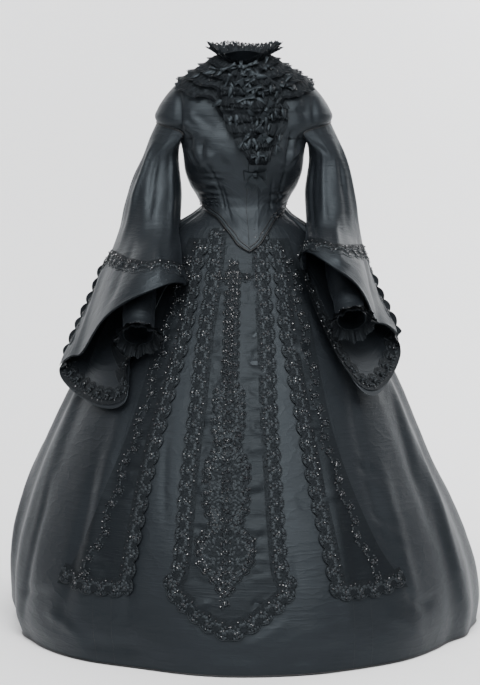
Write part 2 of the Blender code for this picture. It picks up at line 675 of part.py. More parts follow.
def inner_sleeves():
    """Each fitted inner sleeve, from inside the upper arm to the wrist, and the lace frill at its end."""
    for side, mirrored in (("left", False), ("right", True)):
        form = inner_sleeve(side)
        around = np.radians(np.arange(0, 360, 30))[None]
        down = np.array([0.0, 0.14, 0.28, 0.46, 0.64, 0.82, 1.0])[:, None]
        piece_from(f"inner_sleeve_{side}", form, around, down, mirrored=mirrored, closed=True)
        frill_round = np.linspace(0, 2 * math.pi, 4 * WRIST_WAVES + 1)[:-1][None]
        edge = form(frill_round, 1.0)
        middle = edge.mean(axis=(0, 1))
        along = middle - form(frill_round, 0.9).mean(axis=(0, 1))
        along /= np.linalg.norm(along)
        away = (edge - middle) / np.linalg.norm(edge - middle, axis=-1, keepdims=True)
        wave = 0.0035 * np.sin(WRIST_WAVES * frill_round)[..., None]
        start = edge + (SEAM + 0.0002) * along
        end = edge + WRIST_FRILL * along + (0.008 + wave) * away
        outer = np.concatenate([start, end])
        inner = outer - LACE * away
        if mirrored:
            outer, inner = (grid * np.array([-1, 1, 1]) for grid in (outer, inner))
        wall(f"wrist_frill_{side}", outer, inner, "lace", closed=True)


def scallops(height, tall, deep):
    """A row of round tongues down an edge: how far each stands out."""
    return deep * np.abs(np.sin(math.pi * height / tall))


def tab_rows(low, high, per_scallop=2):
    """Row heights that follow the scallops."""
    count = round((high - low) / SCALLOP_TALL) * per_scallop
    return np.linspace(low, high, count + 1)[:, None]


def on_skirt():
    """The skirt as it is cut, at a distance sideways of its front line in metres."""
    facets = gored_skirt()

    def form(sideways, height):
        half = through(SKIRT["height"], (SKIRT["right"] + SKIRT["left"]) / 2, height)
        return facets(SKIRT_LINE + np.arcsin(np.clip(sideways / half, -0.95, 0.95)), height)

    return form


def skirt_tabs():
    """Three tabs bordered with scalloped lace that hang from the waist over the skirt."""
    form = on_skirt()
    height = tab_rows(FRONT_TAB["height"][0], FRONT_TAB["height"][-1])
    half = through(FRONT_TAB["height"], FRONT_TAB["half"], height)
    half = half + scallops(height - height[0], SCALLOP_TALL, TAB_SCALLOP)
    piece_from("tab_front", form, half * np.linspace(-1, 1, 6)[None], height, "lace", LACE,
               raised=TAB_LIE + LACE)
    height = tab_rows(SIDE_TAB["height"][0], SIDE_TAB["height"][-1])
    inner = through(SIDE_TAB["height"], SIDE_TAB["inner"], height)
    inner = inner - scallops(height - height[0], SCALLOP_TALL, TAB_SCALLOP)
    outer = through(SIDE_TAB["height"], SIDE_TAB["outer"], height)
    for side, sign in (("left", 1), ("right", -1)):
        sideways = sign * (inner + (outer - inner) * np.linspace(0, 1, 5)[None])
        piece_from(f"tab_{side}", form, sideways, height, "lace", LACE, raised=TAB_LIE + LACE)


def neck_frill():
    """The lace frill that stands round the neck, leaning out, in waves."""
    turn = np.linspace(-math.pi, math.pi, 4 * FRILL_WAVES + 1)[:-1][None]
    edge = bodice(turn, NECK_EDGE)
    away = edge * np.array([1, 1, 0])
    away /= np.linalg.norm(away, axis=-1, keepdims=True)
    wave = FRILL_WAVE_DEEP * np.sin(FRILL_WAVES * turn)[..., None]
    up = np.array([0, 0, 1.0])
    start = edge + FRILL_CLEAR * up
    end = edge + FRILL_TALL * up + (FRILL_LEAN + wave) * away
    outer = np.concatenate([start, end])
    wall("neck_frill", outer, outer - LACE * away, "lace", closed=True)


def lace_collar():
    """The round lace collar over the shoulders, with a scalloped edge."""
    turn = np.linspace(-math.pi, math.pi, 2 * COLLAR_SCALLOPS + 1)[:-1][None]
    from_front = np.degrees(np.abs(wrapped(turn - BODICE_LINE)))
    lowest = through(COLLAR_EDGE["turn"], COLLAR_EDGE["level"], from_front)
    lowest = lowest - SCALLOP_DEEP * (np.arange(turn.size) % 2)[None]
    grid = lowest + (NECK_EDGE - 0.003 - lowest) * np.linspace(0, 1, COLLAR_ROWS)[:, None]
    piece_from("lace_collar", bodice, turn, grid, "lace", LACE, raised=LIE_ON_BODICE + LACE, closed=True)


def jabot(across, down):
    """The cascade of lace down the front: tiers that stand out at their lower edges, rippled across."""
    across, down = np.broadcast_arrays(np.asarray(across, float), np.asarray(down, float))
    level = JABOT_TOP - JABOT_TALL * down
    lean = through(JABOT_STOPS, JABOT_LEAN, down)
    turn = BODICE_LINE + lean + across * through(JABOT_STOPS, JABOT_TURN, down)
    place = JABOT_TIERS * np.clip(down, 0, 1)
    tier = np.clip((place % 1) / 0.8, 0, 1) * (1 - ease(((place % 1) - 0.8) / 0.2))
    ripple = 0.0022 * np.sin(9 * across + 2.4 * np.floor(place)) * tier
    points = bodice(turn, level)
    away = points * np.array([1, 1, 0])
    away /= np.linalg.norm(away, axis=-1, keepdims=True)
    return points + (JABOT_BASE + JABOT_TIER_OUT * tier + ripple)[..., None] * away


def front_cascade():
    """The lace cascade and the ribbon bows on it."""
    steps = np.array([0.0, 0.4, 0.8])
    down = np.concatenate([(tier + steps) / JABOT_TIERS for tier in range(JABOT_TIERS)] + [[1.0]])[::-1]
    across = np.linspace(-1, 1, 9)[None]
    outer = jabot(across, down[:, None])
    away = outer * np.array([1, 1, 0])
    away /= np.linalg.norm(away, axis=-1, keepdims=True)
    wall("jabot", outer, outer - LACE * away, "lace")


def ribbon_bow(name, middle, along, away, length, width, puff):
    """A ribbon bow: a flat band bent round into two loops, pinched in its middle."""
    along, away = along / np.linalg.norm(along), away / np.linalg.norm(away)
    across = np.cross(along, away)
    turn = np.linspace(0, 2 * math.pi, 17)[:-1]

    def loop(angle):
        reach = length / 2 * np.sign(np.cos(angle)) * np.abs(np.cos(angle)) ** 0.8
        rise = puff * (1 + np.sin(angle)) / 2 * (0.28 + 0.72 * np.cos(angle) ** 2)
        return np.stack([reach, rise], -1)

    line, ahead = loop(turn), loop(turn + 0.02) - loop(turn - 0.02)
    square = np.stack([ahead[:, 1], -ahead[:, 0]], -1) / np.linalg.norm(ahead, axis=1, keepdims=True)
    half = width / 2 * (0.35 + 0.65 * np.cos(turn) ** 2)
    grids = []
    for face in (line, line - LACE * square):
        flat = middle + face[:, :1] * along + face[:, 1:] * away
        grids.append(np.stack([flat - half[:, None] * across, flat + half[:, None] * across]))
    wall(name, *grids, "ribbon", closed=True)


BOW_LIE = 0.0009
END_BOW_LEVEL = 0.080
# Ribbon bows down the front: the tier each sits on, its place across, its tilt in degrees, its length and lift.
BOWS = table(
    "tier across tilt length lift",
    [(1, -0.25, 62, 0.050, 0.0016), (2, 0.15, -58, 0.054, 0.0012), (3, 0.10, 48, 0.050, 0.0039)],
)


def ribbon_bows():
    """Bows on the lower edges of the tiers, and a larger one at the cascade's end."""
    for number, (tier, across, tilt, length, lift) in enumerate(zip(*BOWS.values(), strict=True), 1):
        seat = jabot(np.array(across), np.array((tier - 0.2) / JABOT_TIERS))
        away = seat * np.array([1, 1, 0])
        away /= np.linalg.norm(away)
        level_way = np.cross(away, [0, 0, 1.0])
        tilt = math.radians(tilt)
        along = math.cos(tilt) * level_way + math.sin(tilt) * np.array([0, 0, 1.0])
        ribbon_bow(f"ribbon_bow_{number}", seat + lift * away, along, away, length, 0.022, 0.016)
    place = np.array(BODICE_LINE + JABOT_LEAN[-1]), np.array(END_BOW_LEVEL)
    seat = bodice(*place)
    away = (moved_out(bodice, *place, np.array(0.01)) - seat) / 0.01
    along = np.cross(away, [0, 0, 1.0])
    ribbon_bow("ribbon_bow_end", seat + BOW_LIE * away, along, away, 0.060, 0.026, 0.018)


def main():
    for old in list(bpy.data.objects):
        bpy.data.objects.remove(old)
    skirt_gores()
    waistband()
    bodice_fronts()
    bodice_sides()
    bodice_back()
    bodice_piping()
    sleeves()
    sleeve_wings()
    mouth_laces()
    inner_sleeves()
    skirt_tabs()
    neck_frill()
    lace_collar()
    front_cascade()
    ribbon_bows()


main()
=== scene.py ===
import math

import bpy
import numpy as np
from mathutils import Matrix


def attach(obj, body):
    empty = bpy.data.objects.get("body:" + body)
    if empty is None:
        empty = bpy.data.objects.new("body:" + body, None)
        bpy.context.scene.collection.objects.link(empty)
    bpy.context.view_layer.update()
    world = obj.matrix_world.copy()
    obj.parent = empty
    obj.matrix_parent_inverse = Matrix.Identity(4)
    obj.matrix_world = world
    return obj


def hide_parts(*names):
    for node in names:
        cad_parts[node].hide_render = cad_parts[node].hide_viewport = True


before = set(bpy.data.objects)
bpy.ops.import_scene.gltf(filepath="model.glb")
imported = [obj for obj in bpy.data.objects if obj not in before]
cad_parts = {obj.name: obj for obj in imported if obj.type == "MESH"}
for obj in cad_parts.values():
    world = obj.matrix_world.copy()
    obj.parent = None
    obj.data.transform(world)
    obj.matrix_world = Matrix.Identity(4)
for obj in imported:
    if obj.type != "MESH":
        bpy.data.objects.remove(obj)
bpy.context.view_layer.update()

HEM = -1.05
SILK = 0.0012
LACE = 0.0008
SEED = 1861
RIM_ANGLE = math.radians(75)

ARMPIT = 0.165
ARM_TOP = 0.207
NECK_EDGE = 0.372
ARMHOLE_SWING = math.radians(38)
BODICE_LINE = math.radians(4)
BUST_TURN = math.radians(38)
BUST_SPREAD = math.radians(17)
BUST_HEIGHT = 0.122
BUST_TALL = 0.045
BUST_OUT = 0.016
ARM_CREASE_AT = 0.160
ARM_CREASE_WIDE = 0.018
ARM_CREASE_DEEP = 0.008

SKIRT_LINE = math.radians(-2.3)
FRONT_SEAM = math.radians(29)
STRIP_SEAM = math.radians(33.8)
BACK_SEAM = math.radians(108)
PLEATS_FROM = math.radians(52)
PLEATS_FULL = math.radians(72)
PLEATS_ROUND = 21
SKIRT_GORES = {
    "skirt_back_right": (-math.pi, -BACK_SEAM, 110),
    "skirt_side_right": (-BACK_SEAM, -STRIP_SEAM, 130),
    "skirt_strip_right": (-STRIP_SEAM, -FRONT_SEAM, 9),
    "skirt_front": (-FRONT_SEAM, FRONT_SEAM, 90),
    "skirt_strip_left": (FRONT_SEAM, STRIP_SEAM, 9),
    "skirt_side_left": (STRIP_SEAM, BACK_SEAM, 130),
    "skirt_back_left": (BACK_SEAM, math.pi, 110),
}
SKIRT_ROWS = 116
BAND_TALL = 0.026

SLEEVE_DOWN = (0.0, 0.17, 0.34, 0.50, 0.70, 1.0)
SLEEVE_OFF_SKIRT = 0.018
INNER_OFF_SKIRT = 0.025
ARMPIT_CLEAR = 0.0014
INNER_TOP_CLEAR = 0.0009
INNER_AWAY = 0.005
INNER_FROM = 0.295
SLEEVE_ROUND = 0.09
MOUTH_LACE_FROM = {"right": 236, "left": 184}
SLEEVE_LONG = 0.45


def table(columns, rows):
    """The rows as one array for each named column."""
    return dict(zip(columns.split(), np.array(rows, float).T, strict=True))


SKIRT = table(
    "height right left front back",
    [
        (HEM, 0.572, 0.580, 0.570, 0.735),
        (-0.99, 0.590, 0.588, 0.565, 0.722),
        (-0.91, 0.590, 0.580, 0.545, 0.702),
        (-0.83, 0.580, 0.558, 0.517, 0.672),
        (-0.74, 0.555, 0.523, 0.482, 0.636),
        (-0.64, 0.520, 0.474, 0.438, 0.592),
        (-0.55, 0.480, 0.436, 0.396, 0.546),
        (-0.45, 0.430, 0.394, 0.347, 0.490),
        (-0.30, 0.335, 0.314, 0.268, 0.392),
        (-0.20, 0.276, 0.260, 0.210, 0.318),
        (-0.10, 0.218, 0.203, 0.152, 0.238),
        (-0.05, 0.174, 0.160, 0.120, 0.184),
        (-0.02, 0.127, 0.119, 0.1000, 0.121),
        (0.0, 0.1040, 0.1040, 0.0930, 0.0880),
    ],
)
PLEAT_DEPTH = table(
    "height deep",
    [(HEM, 0.006), (-0.60, 0.005), (-0.30, 0.007), (-0.07, 0.008), (-0.025, 0.004), (0.0, 0.0)],
)
HEM_SWELLS = table("count deep start", [(5, 0.007, 0.4), (8, 0.004, 2.1), (13, 0.002, 4.0)])

BODICE = table(
    "level half front back front_height back_height squareness",
    [
        (-0.12, 0.243, 0.1730, 0.220, -0.12, -0.12, 2.0),
        (-0.10, 0.225, 0.1608, 0.205, -0.10, -0.10, 2.0),
        (-0.05, 0.178, 0.1290, 0.172, -0.05, -0.05, 2.0),
        (-0.02, 0.138, 0.1075, 0.125, -0.02, -0.02, 2.0),
        (0.0, 0.1085, 0.0980, 0.094, 0.0, 0.0, 2.0),
        (0.02, 0.1160, 0.0965, 0.091, 0.02, 0.02, 2.0),
        (0.05, 0.134, 0.102, 0.092, 0.05, 0.05, 2.1),
        (0.09, 0.1475, 0.114, 0.097, 0.09, 0.09, 2.2),
        (0.13, 0.1520, 0.125, 0.101, 0.13, 0.13, 2.3),
        (ARMPIT, 0.160, 0.122, 0.106, ARMPIT, ARMPIT, 2.4),
        (0.186, 0.187, 0.114, 0.108, 0.186, 0.186, 2.4),
        (ARM_TOP, 0.2170, 0.107, 0.108, ARM_TOP, ARM_TOP, 2.4),
        (0.222, 0.2220, 0.104, 0.108, 0.220, 0.224, 2.4),
        (0.24, 0.215, 0.102, 0.107, 0.236, 0.245, 2.4),
        (0.27, 0.196, 0.094, 0.104, 0.262, 0.279, 2.4),
        (0.30, 0.169, 0.084, 0.098, 0.286, 0.311, 2.3),
        (0.33, 0.127, 0.072, 0.086, 0.310, 0.342, 2.2),
        (0.355, 0.088, 0.061, 0.070, 0.332, 0.368, 2.1),
        (NECK_EDGE, 0.064, 0.054, 0.060, 0.347, 0.386, 2.0),
    ],
)
BODICE_HEM = table(
    "turn height",
    [(0, -0.104), (7, -0.086), (11, -0.069), (16, -0.053), (21, -0.040), (30, -0.024), (45, -0.013),
     (62, -0.004), (78, 0.004), (180, 0.004)],
)
COLLAR_EDGE = table(
    "turn level",
    [(0, 0.205), (11, 0.213), (16, 0.240), (22, 0.270), (30, 0.274), (42, 0.280), (58, 0.288), (75, 0.303),
     (90, 0.313), (130, 0.305), (180, 0.290)],
)
SIDE_BACK_SEAM = table("height turn", [(-0.01, 150), (0.05, 152), (0.10, 146), (0.15, 137), (0.186, 130)])

SLEEVE_RINGS = {
    "right": (
        ((0.255, 0.005, 0.120), (0.208, 0.062, 0.118), (0.162, 0.008, 0.115), (0.208, -0.056, 0.118)),
        ((0.2915, 0.012, 0.030), (0.224, 0.092, 0.030), (0.154, 0.022, 0.030), (0.224, -0.052, 0.030)),
        ((0.311, 0.020, -0.055), (0.233, 0.138, -0.050), (0.156, 0.055, -0.045), (0.236, -0.035, -0.060)),
        ((0.352, 0.050, -0.175), (0.252, 0.225, -0.135), (0.148, 0.140, -0.125), (0.268, 0.055, -0.235)),
        ((0.412, 0.150, -0.340), (0.264, 0.300, -0.212), (0.134, 0.210, -0.222), (0.292, 0.300, -0.478)),
    ),
    "left": (
        ((0.255, 0.005, 0.120), (0.210, 0.062, 0.118), (0.163, 0.008, 0.115), (0.208, -0.056, 0.118)),
        ((0.277, 0.012, 0.030), (0.218, 0.092, 0.030), (0.153, 0.022, 0.030), (0.216, -0.052, 0.030)),
        ((0.290, 0.020, -0.055), (0.226, 0.138, -0.045), (0.156, 0.060, -0.040), (0.230, -0.030, -0.060)),
        ((0.308, 0.070, -0.150), (0.238, 0.225, -0.099), (0.152, 0.130, -0.090), (0.256, 0.070, -0.210)),
        ((0.338, 0.200, -0.255), (0.244, 0.290, -0.154), (0.145, 0.190, -0.146), (0.304, 0.305, -0.448)),
    ),
}
SLEEVE_PULLS = {
    "right": table(
        "around wide out forward height",
        [(-45, 30, 0.452, 0.105, -0.425), (28, 31, 0.390, 0.178, -0.352), (202, 24, 0.186, 0.178, -0.200),
         (234, 19, 0.264, 0.245, -0.365)],
    ),
    "left": table(
        "around wide out forward height",
        [(-45, 30, 0.384, 0.130, -0.345), (28, 32, 0.320, 0.218, -0.270)],
    ),
}
# The lace that stands from a sleeve's outer seam: from where to where down the sleeve, and its place around.
EDGING_DOWN = {"right": (0.60, 0.985), "left": (0.66, 0.985)}
EDGING_AROUND = {"right": (0, -40), "left": (0, -40)}
WING_EDGE = table(
    "around down",
    [(-36, 0.97), (-20, 0.83), (0, 0.68), (20, 0.60), (45, 0.62), (90, 0.70), (135, 0.80), (184, 0.93)],
)
INNER_SLEEVE = {
    "right": table("out forward height radius", [
        (0.238, 0.040, -0.020, 0.038), (0.246, 0.086, -0.085, 0.040), (0.250, 0.158, -0.180, 0.040),
        (0.250, 0.226, -0.250, 0.039), (0.248, 0.278, -0.298, 0.037)]),
    "left": table("out forward height radius", [
        (0.230, 0.040, -0.020, 0.037), (0.236, 0.080, -0.075, 0.037), (0.240, 0.146, -0.155, 0.038),
        (0.254, 0.214, -0.218, 0.037), (0.262, 0.270, -0.262, 0.035)]),
}
FRONT_TAB = table("height half", [
    (-0.965, 0.004), (-0.935, 0.060), (-0.885, 0.128), (-0.855, 0.146), (-0.83, 0.126), (-0.75, 0.117),
    (-0.62, 0.107), (-0.45, 0.092), (-0.30, 0.082), (-0.18, 0.068), (-0.05, 0.060)])
SIDE_TAB = table("height inner outer", [
    (-0.885, 0.242, 0.415), (-0.86, 0.238, 0.395), (-0.78, 0.222, 0.345), (-0.66, 0.196, 0.292),
    (-0.52, 0.166, 0.240), (-0.40, 0.138, 0.208), (-0.28, 0.112, 0.180), (-0.16, 0.097, 0.150),
    (-0.075, 0.078, 0.120)])

# Soft creases, listed one by one. Each runs from one place to the other, bows aside, and is a ridge or, if
# deep is negative, a trough. On the skirt x is the way round from the front line and y the height.
CREASE = "x1 y1 x2 y2 bow wide deep"
SKIRT_CREASES = table(CREASE, [
    (-0.26, -0.42, -0.40, -1.04, 0.010, 0.024, 0.0060),
    (-0.33, -0.55, -0.47, -1.03, -0.008, 0.020, -0.0050),
    (-0.20, -0.62, -0.27, -1.04, 0.006, 0.018, -0.0035),
    (-0.43, -0.30, -0.62, -0.98, 0.012, 0.026, 0.0050),
    (-0.52, -0.60, -0.66, -1.04, -0.010, 0.018, -0.0060),
    (-0.70, -0.45, -0.86, -1.04, 0.010, 0.024, 0.0070),
    (-0.92, -0.30, -1.10, -1.03, -0.008, 0.028, -0.0070),
    (-1.16, -0.50, -1.30, -1.04, 0.012, 0.022, 0.0060),
    (-1.34, -0.25, -1.52, -1.02, 0.010, 0.030, -0.0080),
    (-1.60, -0.55, -1.68, -1.04, -0.006, 0.020, 0.0060),
    (0.22, -0.50, 0.30, -1.04, -0.008, 0.020, 0.0045),
    (0.30, -0.34, 0.42, -0.86, 0.010, 0.020, -0.0040),
    (0.40, -0.55, 0.52, -1.04, 0.008, 0.024, 0.0055),
    (0.46, -0.30, 0.60, -0.84, -0.010, 0.022, -0.0060),
    (0.62, -0.52, 0.74, -1.03, 0.012, 0.024, 0.0065),
    (0.82, -0.35, 0.98, -1.04, -0.010, 0.026, -0.0075),
    (1.04, -0.60, 1.14, -1.04, 0.008, 0.020, 0.0050),
    (1.22, -0.30, 1.40, -1.00, 0.012, 0.030, 0.0080),
    (1.46, -0.48, 1.58, -1.04, -0.006, 0.024, -0.0070),
    (1.70, -0.35, 1.76, -1.02, 0.006, 0.026, 0.0060),
    (-0.40, -1.005, -0.18, -0.985, 0.012, 0.022, -0.0055),
    (-0.52, -0.955, -0.36, -1.010, -0.010, 0.014, 0.0045),
    (0.10, -1.000, 0.33, -0.985, 0.014, 0.024, -0.0060),
    (-0.10, -1.020, 0.12, -1.025, 0.006, 0.016, 0.0035),
    (0.44, -0.870, 0.58, -0.935, 0.026, 0.014, -0.0060),
    (0.36, -0.930, 0.52, -1.010, -0.012, 0.016, 0.0040),
    (-0.66, -0.930, -0.46, -0.900, 0.010, 0.014, -0.0035),
    (0.310, -0.575, 0.400, -0.610, 0.004, 0.0075, 0.0024),
    (0.315, -0.600, 0.415, -0.640, -0.004, 0.0080, -0.0026),
    (0.335, -0.628, 0.430, -0.662, 0.004, 0.0070, 0.0022),
    (0.350, -0.700, 0.470, -0.752, 0.006, 0.0080, -0.0030),
    (0.345, -0.728, 0.450, -0.780, -0.005, 0.0075, 0.0026),
    (0.375, -0.752, 0.480, -0.800, 0.004, 0.0080, -0.0026),
    (-0.36, -0.660, -0.27, -0.690, 0.003, 0.0080, 0.0020),
    (-0.42, -0.765, -0.30, -0.800, 0.005, 0.0085, -0.0022),
    (0.150, -0.660, 0.235, -0.700, 0.012, 0.0080, -0.0026),
    (-0.155, -0.520, -0.150, -0.760, 0.004, 0.0090, -0.0018),
    (0.150, -0.775, 0.180, -0.870, 0.010, 0.0085, -0.0020),
    (0.020, -0.985, 0.145, -0.915, 0.010, 0.0100, 0.0026),
])
# On the bodice x is sideways and y the level. The first list is its front, the second its back.
FRONT_CREASES = table(CREASE, [
    (-0.102, 0.172, -0.080, 0.100, 0.006, 0.0080, -0.0085),
    (-0.088, 0.118, -0.040, -0.040, -0.006, 0.0030, -0.0046),
    (-0.062, 0.080, -0.024, -0.070, -0.003, 0.0026, -0.0026),
    (0.130, 0.205, 0.094, 0.075, 0.004, 0.0060, -0.0095),
    (0.100, 0.105, 0.082, -0.020, -0.002, 0.0032, -0.0050),
    (0.072, 0.090, 0.062, -0.055, -0.002, 0.0026, -0.0024),
    (0.036, 0.190, 0.034, -0.112, 0.0, 0.0030, 0.0016),
    (-0.162, 0.300, -0.160, 0.150, 0.002, 0.0070, -0.0050),
    (-0.172, 0.290, -0.171, 0.180, -0.002, 0.0060, 0.0030),
    (0.178, 0.285, 0.184, 0.170, 0.002, 0.0060, -0.0045),
    (-0.150, 0.215, -0.118, 0.178, 0.006, 0.0080, 0.0050),
    (-0.148, 0.192, -0.122, 0.140, -0.004, 0.0060, -0.0060),
    (-0.138, 0.150, -0.112, 0.100, 0.003, 0.0050, 0.0045),
    (-0.126, 0.136, -0.094, 0.094, 0.004, 0.0050, -0.0045),
    (-0.122, 0.100, -0.070, 0.090, -0.003, 0.0040, 0.0026),
    (-0.118, 0.084, -0.066, 0.072, 0.003, 0.0040, -0.0026),
    (0.150, 0.182, 0.122, 0.130, 0.004, 0.0060, -0.0055),
    (0.140, 0.158, 0.112, 0.112, -0.004, 0.0050, 0.0045),
    (0.132, 0.128, 0.104, 0.092, 0.003, 0.0045, -0.0040),
    (0.128, 0.245, 0.168, 0.228, 0.004, 0.0070, -0.0036),
    (0.110, 0.268, 0.152, 0.262, 0.003, 0.0060, 0.0024),
    (-0.150, 0.272, -0.095, 0.262, -0.003, 0.0070, -0.0026),
    (-0.135, 0.244, -0.100, 0.200, 0.006, 0.0090, 0.0030),
    (-0.104, 0.168, -0.052, 0.126, 0.008, 0.0140, -0.0060),
    (-0.066, 0.132, -0.030, 0.092, 0.004, 0.0120, -0.0050),
    (0.122, 0.152, 0.072, 0.116, -0.006, 0.0120, -0.0052),
    (-0.060, 0.030, 0.010, 0.022, 0.003, 0.0060, -0.0018),
    (-0.030, 0.060, 0.052, 0.048, -0.004, 0.0070, 0.0020),
    (-0.048, -0.010, -0.006, -0.052, 0.004, 0.0070, -0.0022),
    (0.052, 0.010, 0.030, -0.060, 0.003, 0.0060, 0.0020),
    (-0.120, 0.236, -0.060, 0.188, 0.008, 0.0110, -0.0034),
])
BACK_CREASES = table(CREASE, [
    (-0.160, 0.300, -0.158, 0.150, 0.002, 0.0070, -0.0045),
    (0.160, 0.295, 0.162, 0.160, -0.002, 0.0065, -0.0045),
    (-0.140, 0.200, -0.110, 0.130, 0.004, 0.0065, -0.0040),
    (0.138, 0.190, 0.112, 0.125, -0.004, 0.0060, -0.0042),
    (-0.070, 0.240, -0.050, 0.120, 0.003, 0.0090, 0.0022),
    (0.062, 0.230, 0.048, 0.110, -0.003, 0.0080, 0.0020),
])
# Short rungs of puckers beside the darts: the first and last level, the span across and how deep.
RUNGS = table("low high inside outside count deep", [
    (-0.010, 0.092, 0.054, 0.104, 10, 0.0032),
    (-0.040, 0.045, -0.066, -0.104, 8, 0.0032),
])
# On a sleeve x is its place around in degrees and y how far down it is.
SLEEVE_CREASES = {
    "left": table(CREASE, [
        (20, 0.06, 12, 0.60, 0.010, 0.012, 0.0050), (60, 0.10, 66, 0.62, -0.008, 0.014, -0.0045),
        (100, 0.05, 110, 0.55, 0.006, 0.012, 0.0045), (140, 0.12, 132, 0.75, 0.006, 0.011, -0.0050),
        (-30, 0.10, -36, 0.80, 0.008, 0.016, -0.0050), (-80, 0.15, -72, 0.85, -0.008, 0.016, 0.0055),
        (-120, 0.10, -118, 0.70, 0.006, 0.014, -0.0050), (84, 0.42, 100, 0.98, 0.006, 0.010, 0.0040),
        (34, 0.50, 22, 0.99, 0.008, 0.012, -0.0045), (120, 0.02, 80, 0.16, 0.004, 0.010, -0.0030)]),
    "right": table(CREASE, [
        (10, 0.08, 22, 0.58, -0.010, 0.013, -0.0050), (48, 0.05, 40, 0.66, 0.008, 0.012, 0.0050),
        (88, 0.12, 96, 0.55, -0.006, 0.013, -0.0045), (128, 0.05, 136, 0.70, 0.006, 0.011, 0.0045),
        (-26, 0.12, -34, 0.86, 0.008, 0.016, 0.0050), (-70, 0.10, -78, 0.80, -0.008, 0.018, -0.0060),
        (-124, 0.14, -116, 0.82, 0.006, 0.014, 0.0050), (70, 0.52, 62, 0.99, 0.006, 0.010, -0.0045),
        (112, 0.55, 118, 0.98, 0.006, 0.009, 0.0040), (16, 0.60, 4, 0.99, 0.006, 0.012, 0.0045)]),
}


def slopes_of(at, known):
    """The slope of a smooth curve at each known point, flat where the points turn back."""
    shape = (-1,) + (1,) * (known.ndim - 1)
    rise = np.diff(known, axis=0) / np.diff(at).reshape(shape)
    slopes = np.concatenate([rise[:1], (rise[1:] + rise[:-1]) / 2, rise[-1:]])
    both = rise[1:] * rise[:-1]
    gentle = 2 * both / np.where(np.abs(rise[1:] + rise[:-1]) < 1e-12, 1, rise[1:] + rise[:-1])
    slopes[1:-1] = np.where(both > 0, gentle, 0)
    return slopes


def through(at, known, wanted):
    """A smooth curve through the known values, read at the wanted places: cubic between each two."""
    at = np.asarray(at, float)
    order = np.argsort(at)
    at, known = at[order], np.asarray(known, float)[order]
    slopes = slopes_of(at, known)
    wanted = np.clip(wanted, at[0], at[-1])
    i = np.clip(np.searchsorted(at, wanted) - 1, 0, len(at) - 2)
    step = at[i + 1] - at[i]
    t = (wanted - at[i]) / step

    def pick(values, index):
        if values.ndim == 1:
            return values[index]
        return np.take_along_axis(values, index[None], 0)[0]

    a, b, slope_a, slope_b = pick(known, i), pick(known, i + 1), pick(slopes, i), pick(slopes, i + 1)
    return (
        (2 * t**3 - 3 * t**2 + 1) * a
        + (t**3 - 2 * t**2 + t) * step * slope_a
        + (3 * t**2 - 2 * t**3) * b
        + (t**3 - t**2) * step * slope_b
    )


def ease(t):
    """From 0 to 1 with level ends: t times t times (3 - 2 t)."""
    t = np.clip(t, 0, 1)
    return t * t * (3 - 2 * t)


def bump(distance, wide):
    """A soft hill, 1 high in its middle: e to the minus square of distance over width."""
    return np.exp(-((distance / wide) ** 2))


def wrapped(turn):
    """The same turn, from half a round back to half a round forward."""
    return (turn + math.pi) % (2 * math.pi) - math.pi


def creases(rows, x, y):
    """The sum of the rows' creases: a soft hill across each line, bowed aside, fading towards its ends."""
    total = np.zeros(np.broadcast(x, y).shape)
    for x1, y1, x2, y2, bow, wide, deep in zip(*rows.values(), strict=True):
        length = math.hypot(x2 - x1, y2 - y1)
        way_x, way_y = (x2 - x1) / length, (y2 - y1) / length
        along = ((x - x1) * way_x + (y - y1) * way_y) / length
        aside = (x - x1) * way_y - (y - y1) * way_x - 4 * bow * along * (1 - along)
        total = total + deep * bump(aside, wide) * ease(along / 0.3) * ease((1 - along) / 0.4)
    return total


def crumple(x, y, size, seed):
    """An uneven swell about 1 high: eight waves of nearly one length that cross in every direction."""
    chance = np.random.default_rng(seed)
    total = 0.0
    for heading, stretch, start in zip(
        chance.uniform(0, math.pi, 8), chance.uniform(0.6, 1.5, 8), chance.uniform(0, 6.28, 8), strict=True
    ):
        wave = 2 * math.pi / (size * stretch)
        total = total + np.sin(wave * (x * math.cos(heading) + y * math.sin(heading)) + start)
    return total / 4


def skirt_folds(turn, height):
    """How far the cloth stands out from the plain skirt: pleats, swells at the hem, creases and crumples."""
    side = wrapped(turn)
    zone = ease((np.abs(side) - PLEATS_FROM) / (PLEATS_FULL - PLEATS_FROM))
    deep = through(PLEAT_DEPTH["height"], PLEAT_DEPTH["deep"], height)
    uneven = 1 + 0.35 * np.sin(3 * turn + 1.0) * np.sin(5 * turn)
    fold = zone * deep * uneven * np.cos(PLEATS_ROUND * turn + 0.25 * np.sin(4 * turn))
    low = ease((-0.62 - height) / 0.4)
    for count, swell, start in zip(*HEM_SWELLS.values(), strict=True):
        fold = fold + low * swell * np.sin(count * turn + start)
    x = wrapped(turn - SKIRT_LINE) * through(SKIRT["height"], (SKIRT["right"] + SKIRT["left"]) / 2, height)
    below = ease((-0.06 - height) / 0.1)
    fold = fold + creases(SKIRT_CREASES, x, height)
    broad = 0.0006 * crumple(x, height, 0.16, SEED)
    fine = 0.00022 * crumple(x, 1.8 * height, 0.07, 3)
    return fold + below * (broad + fine)


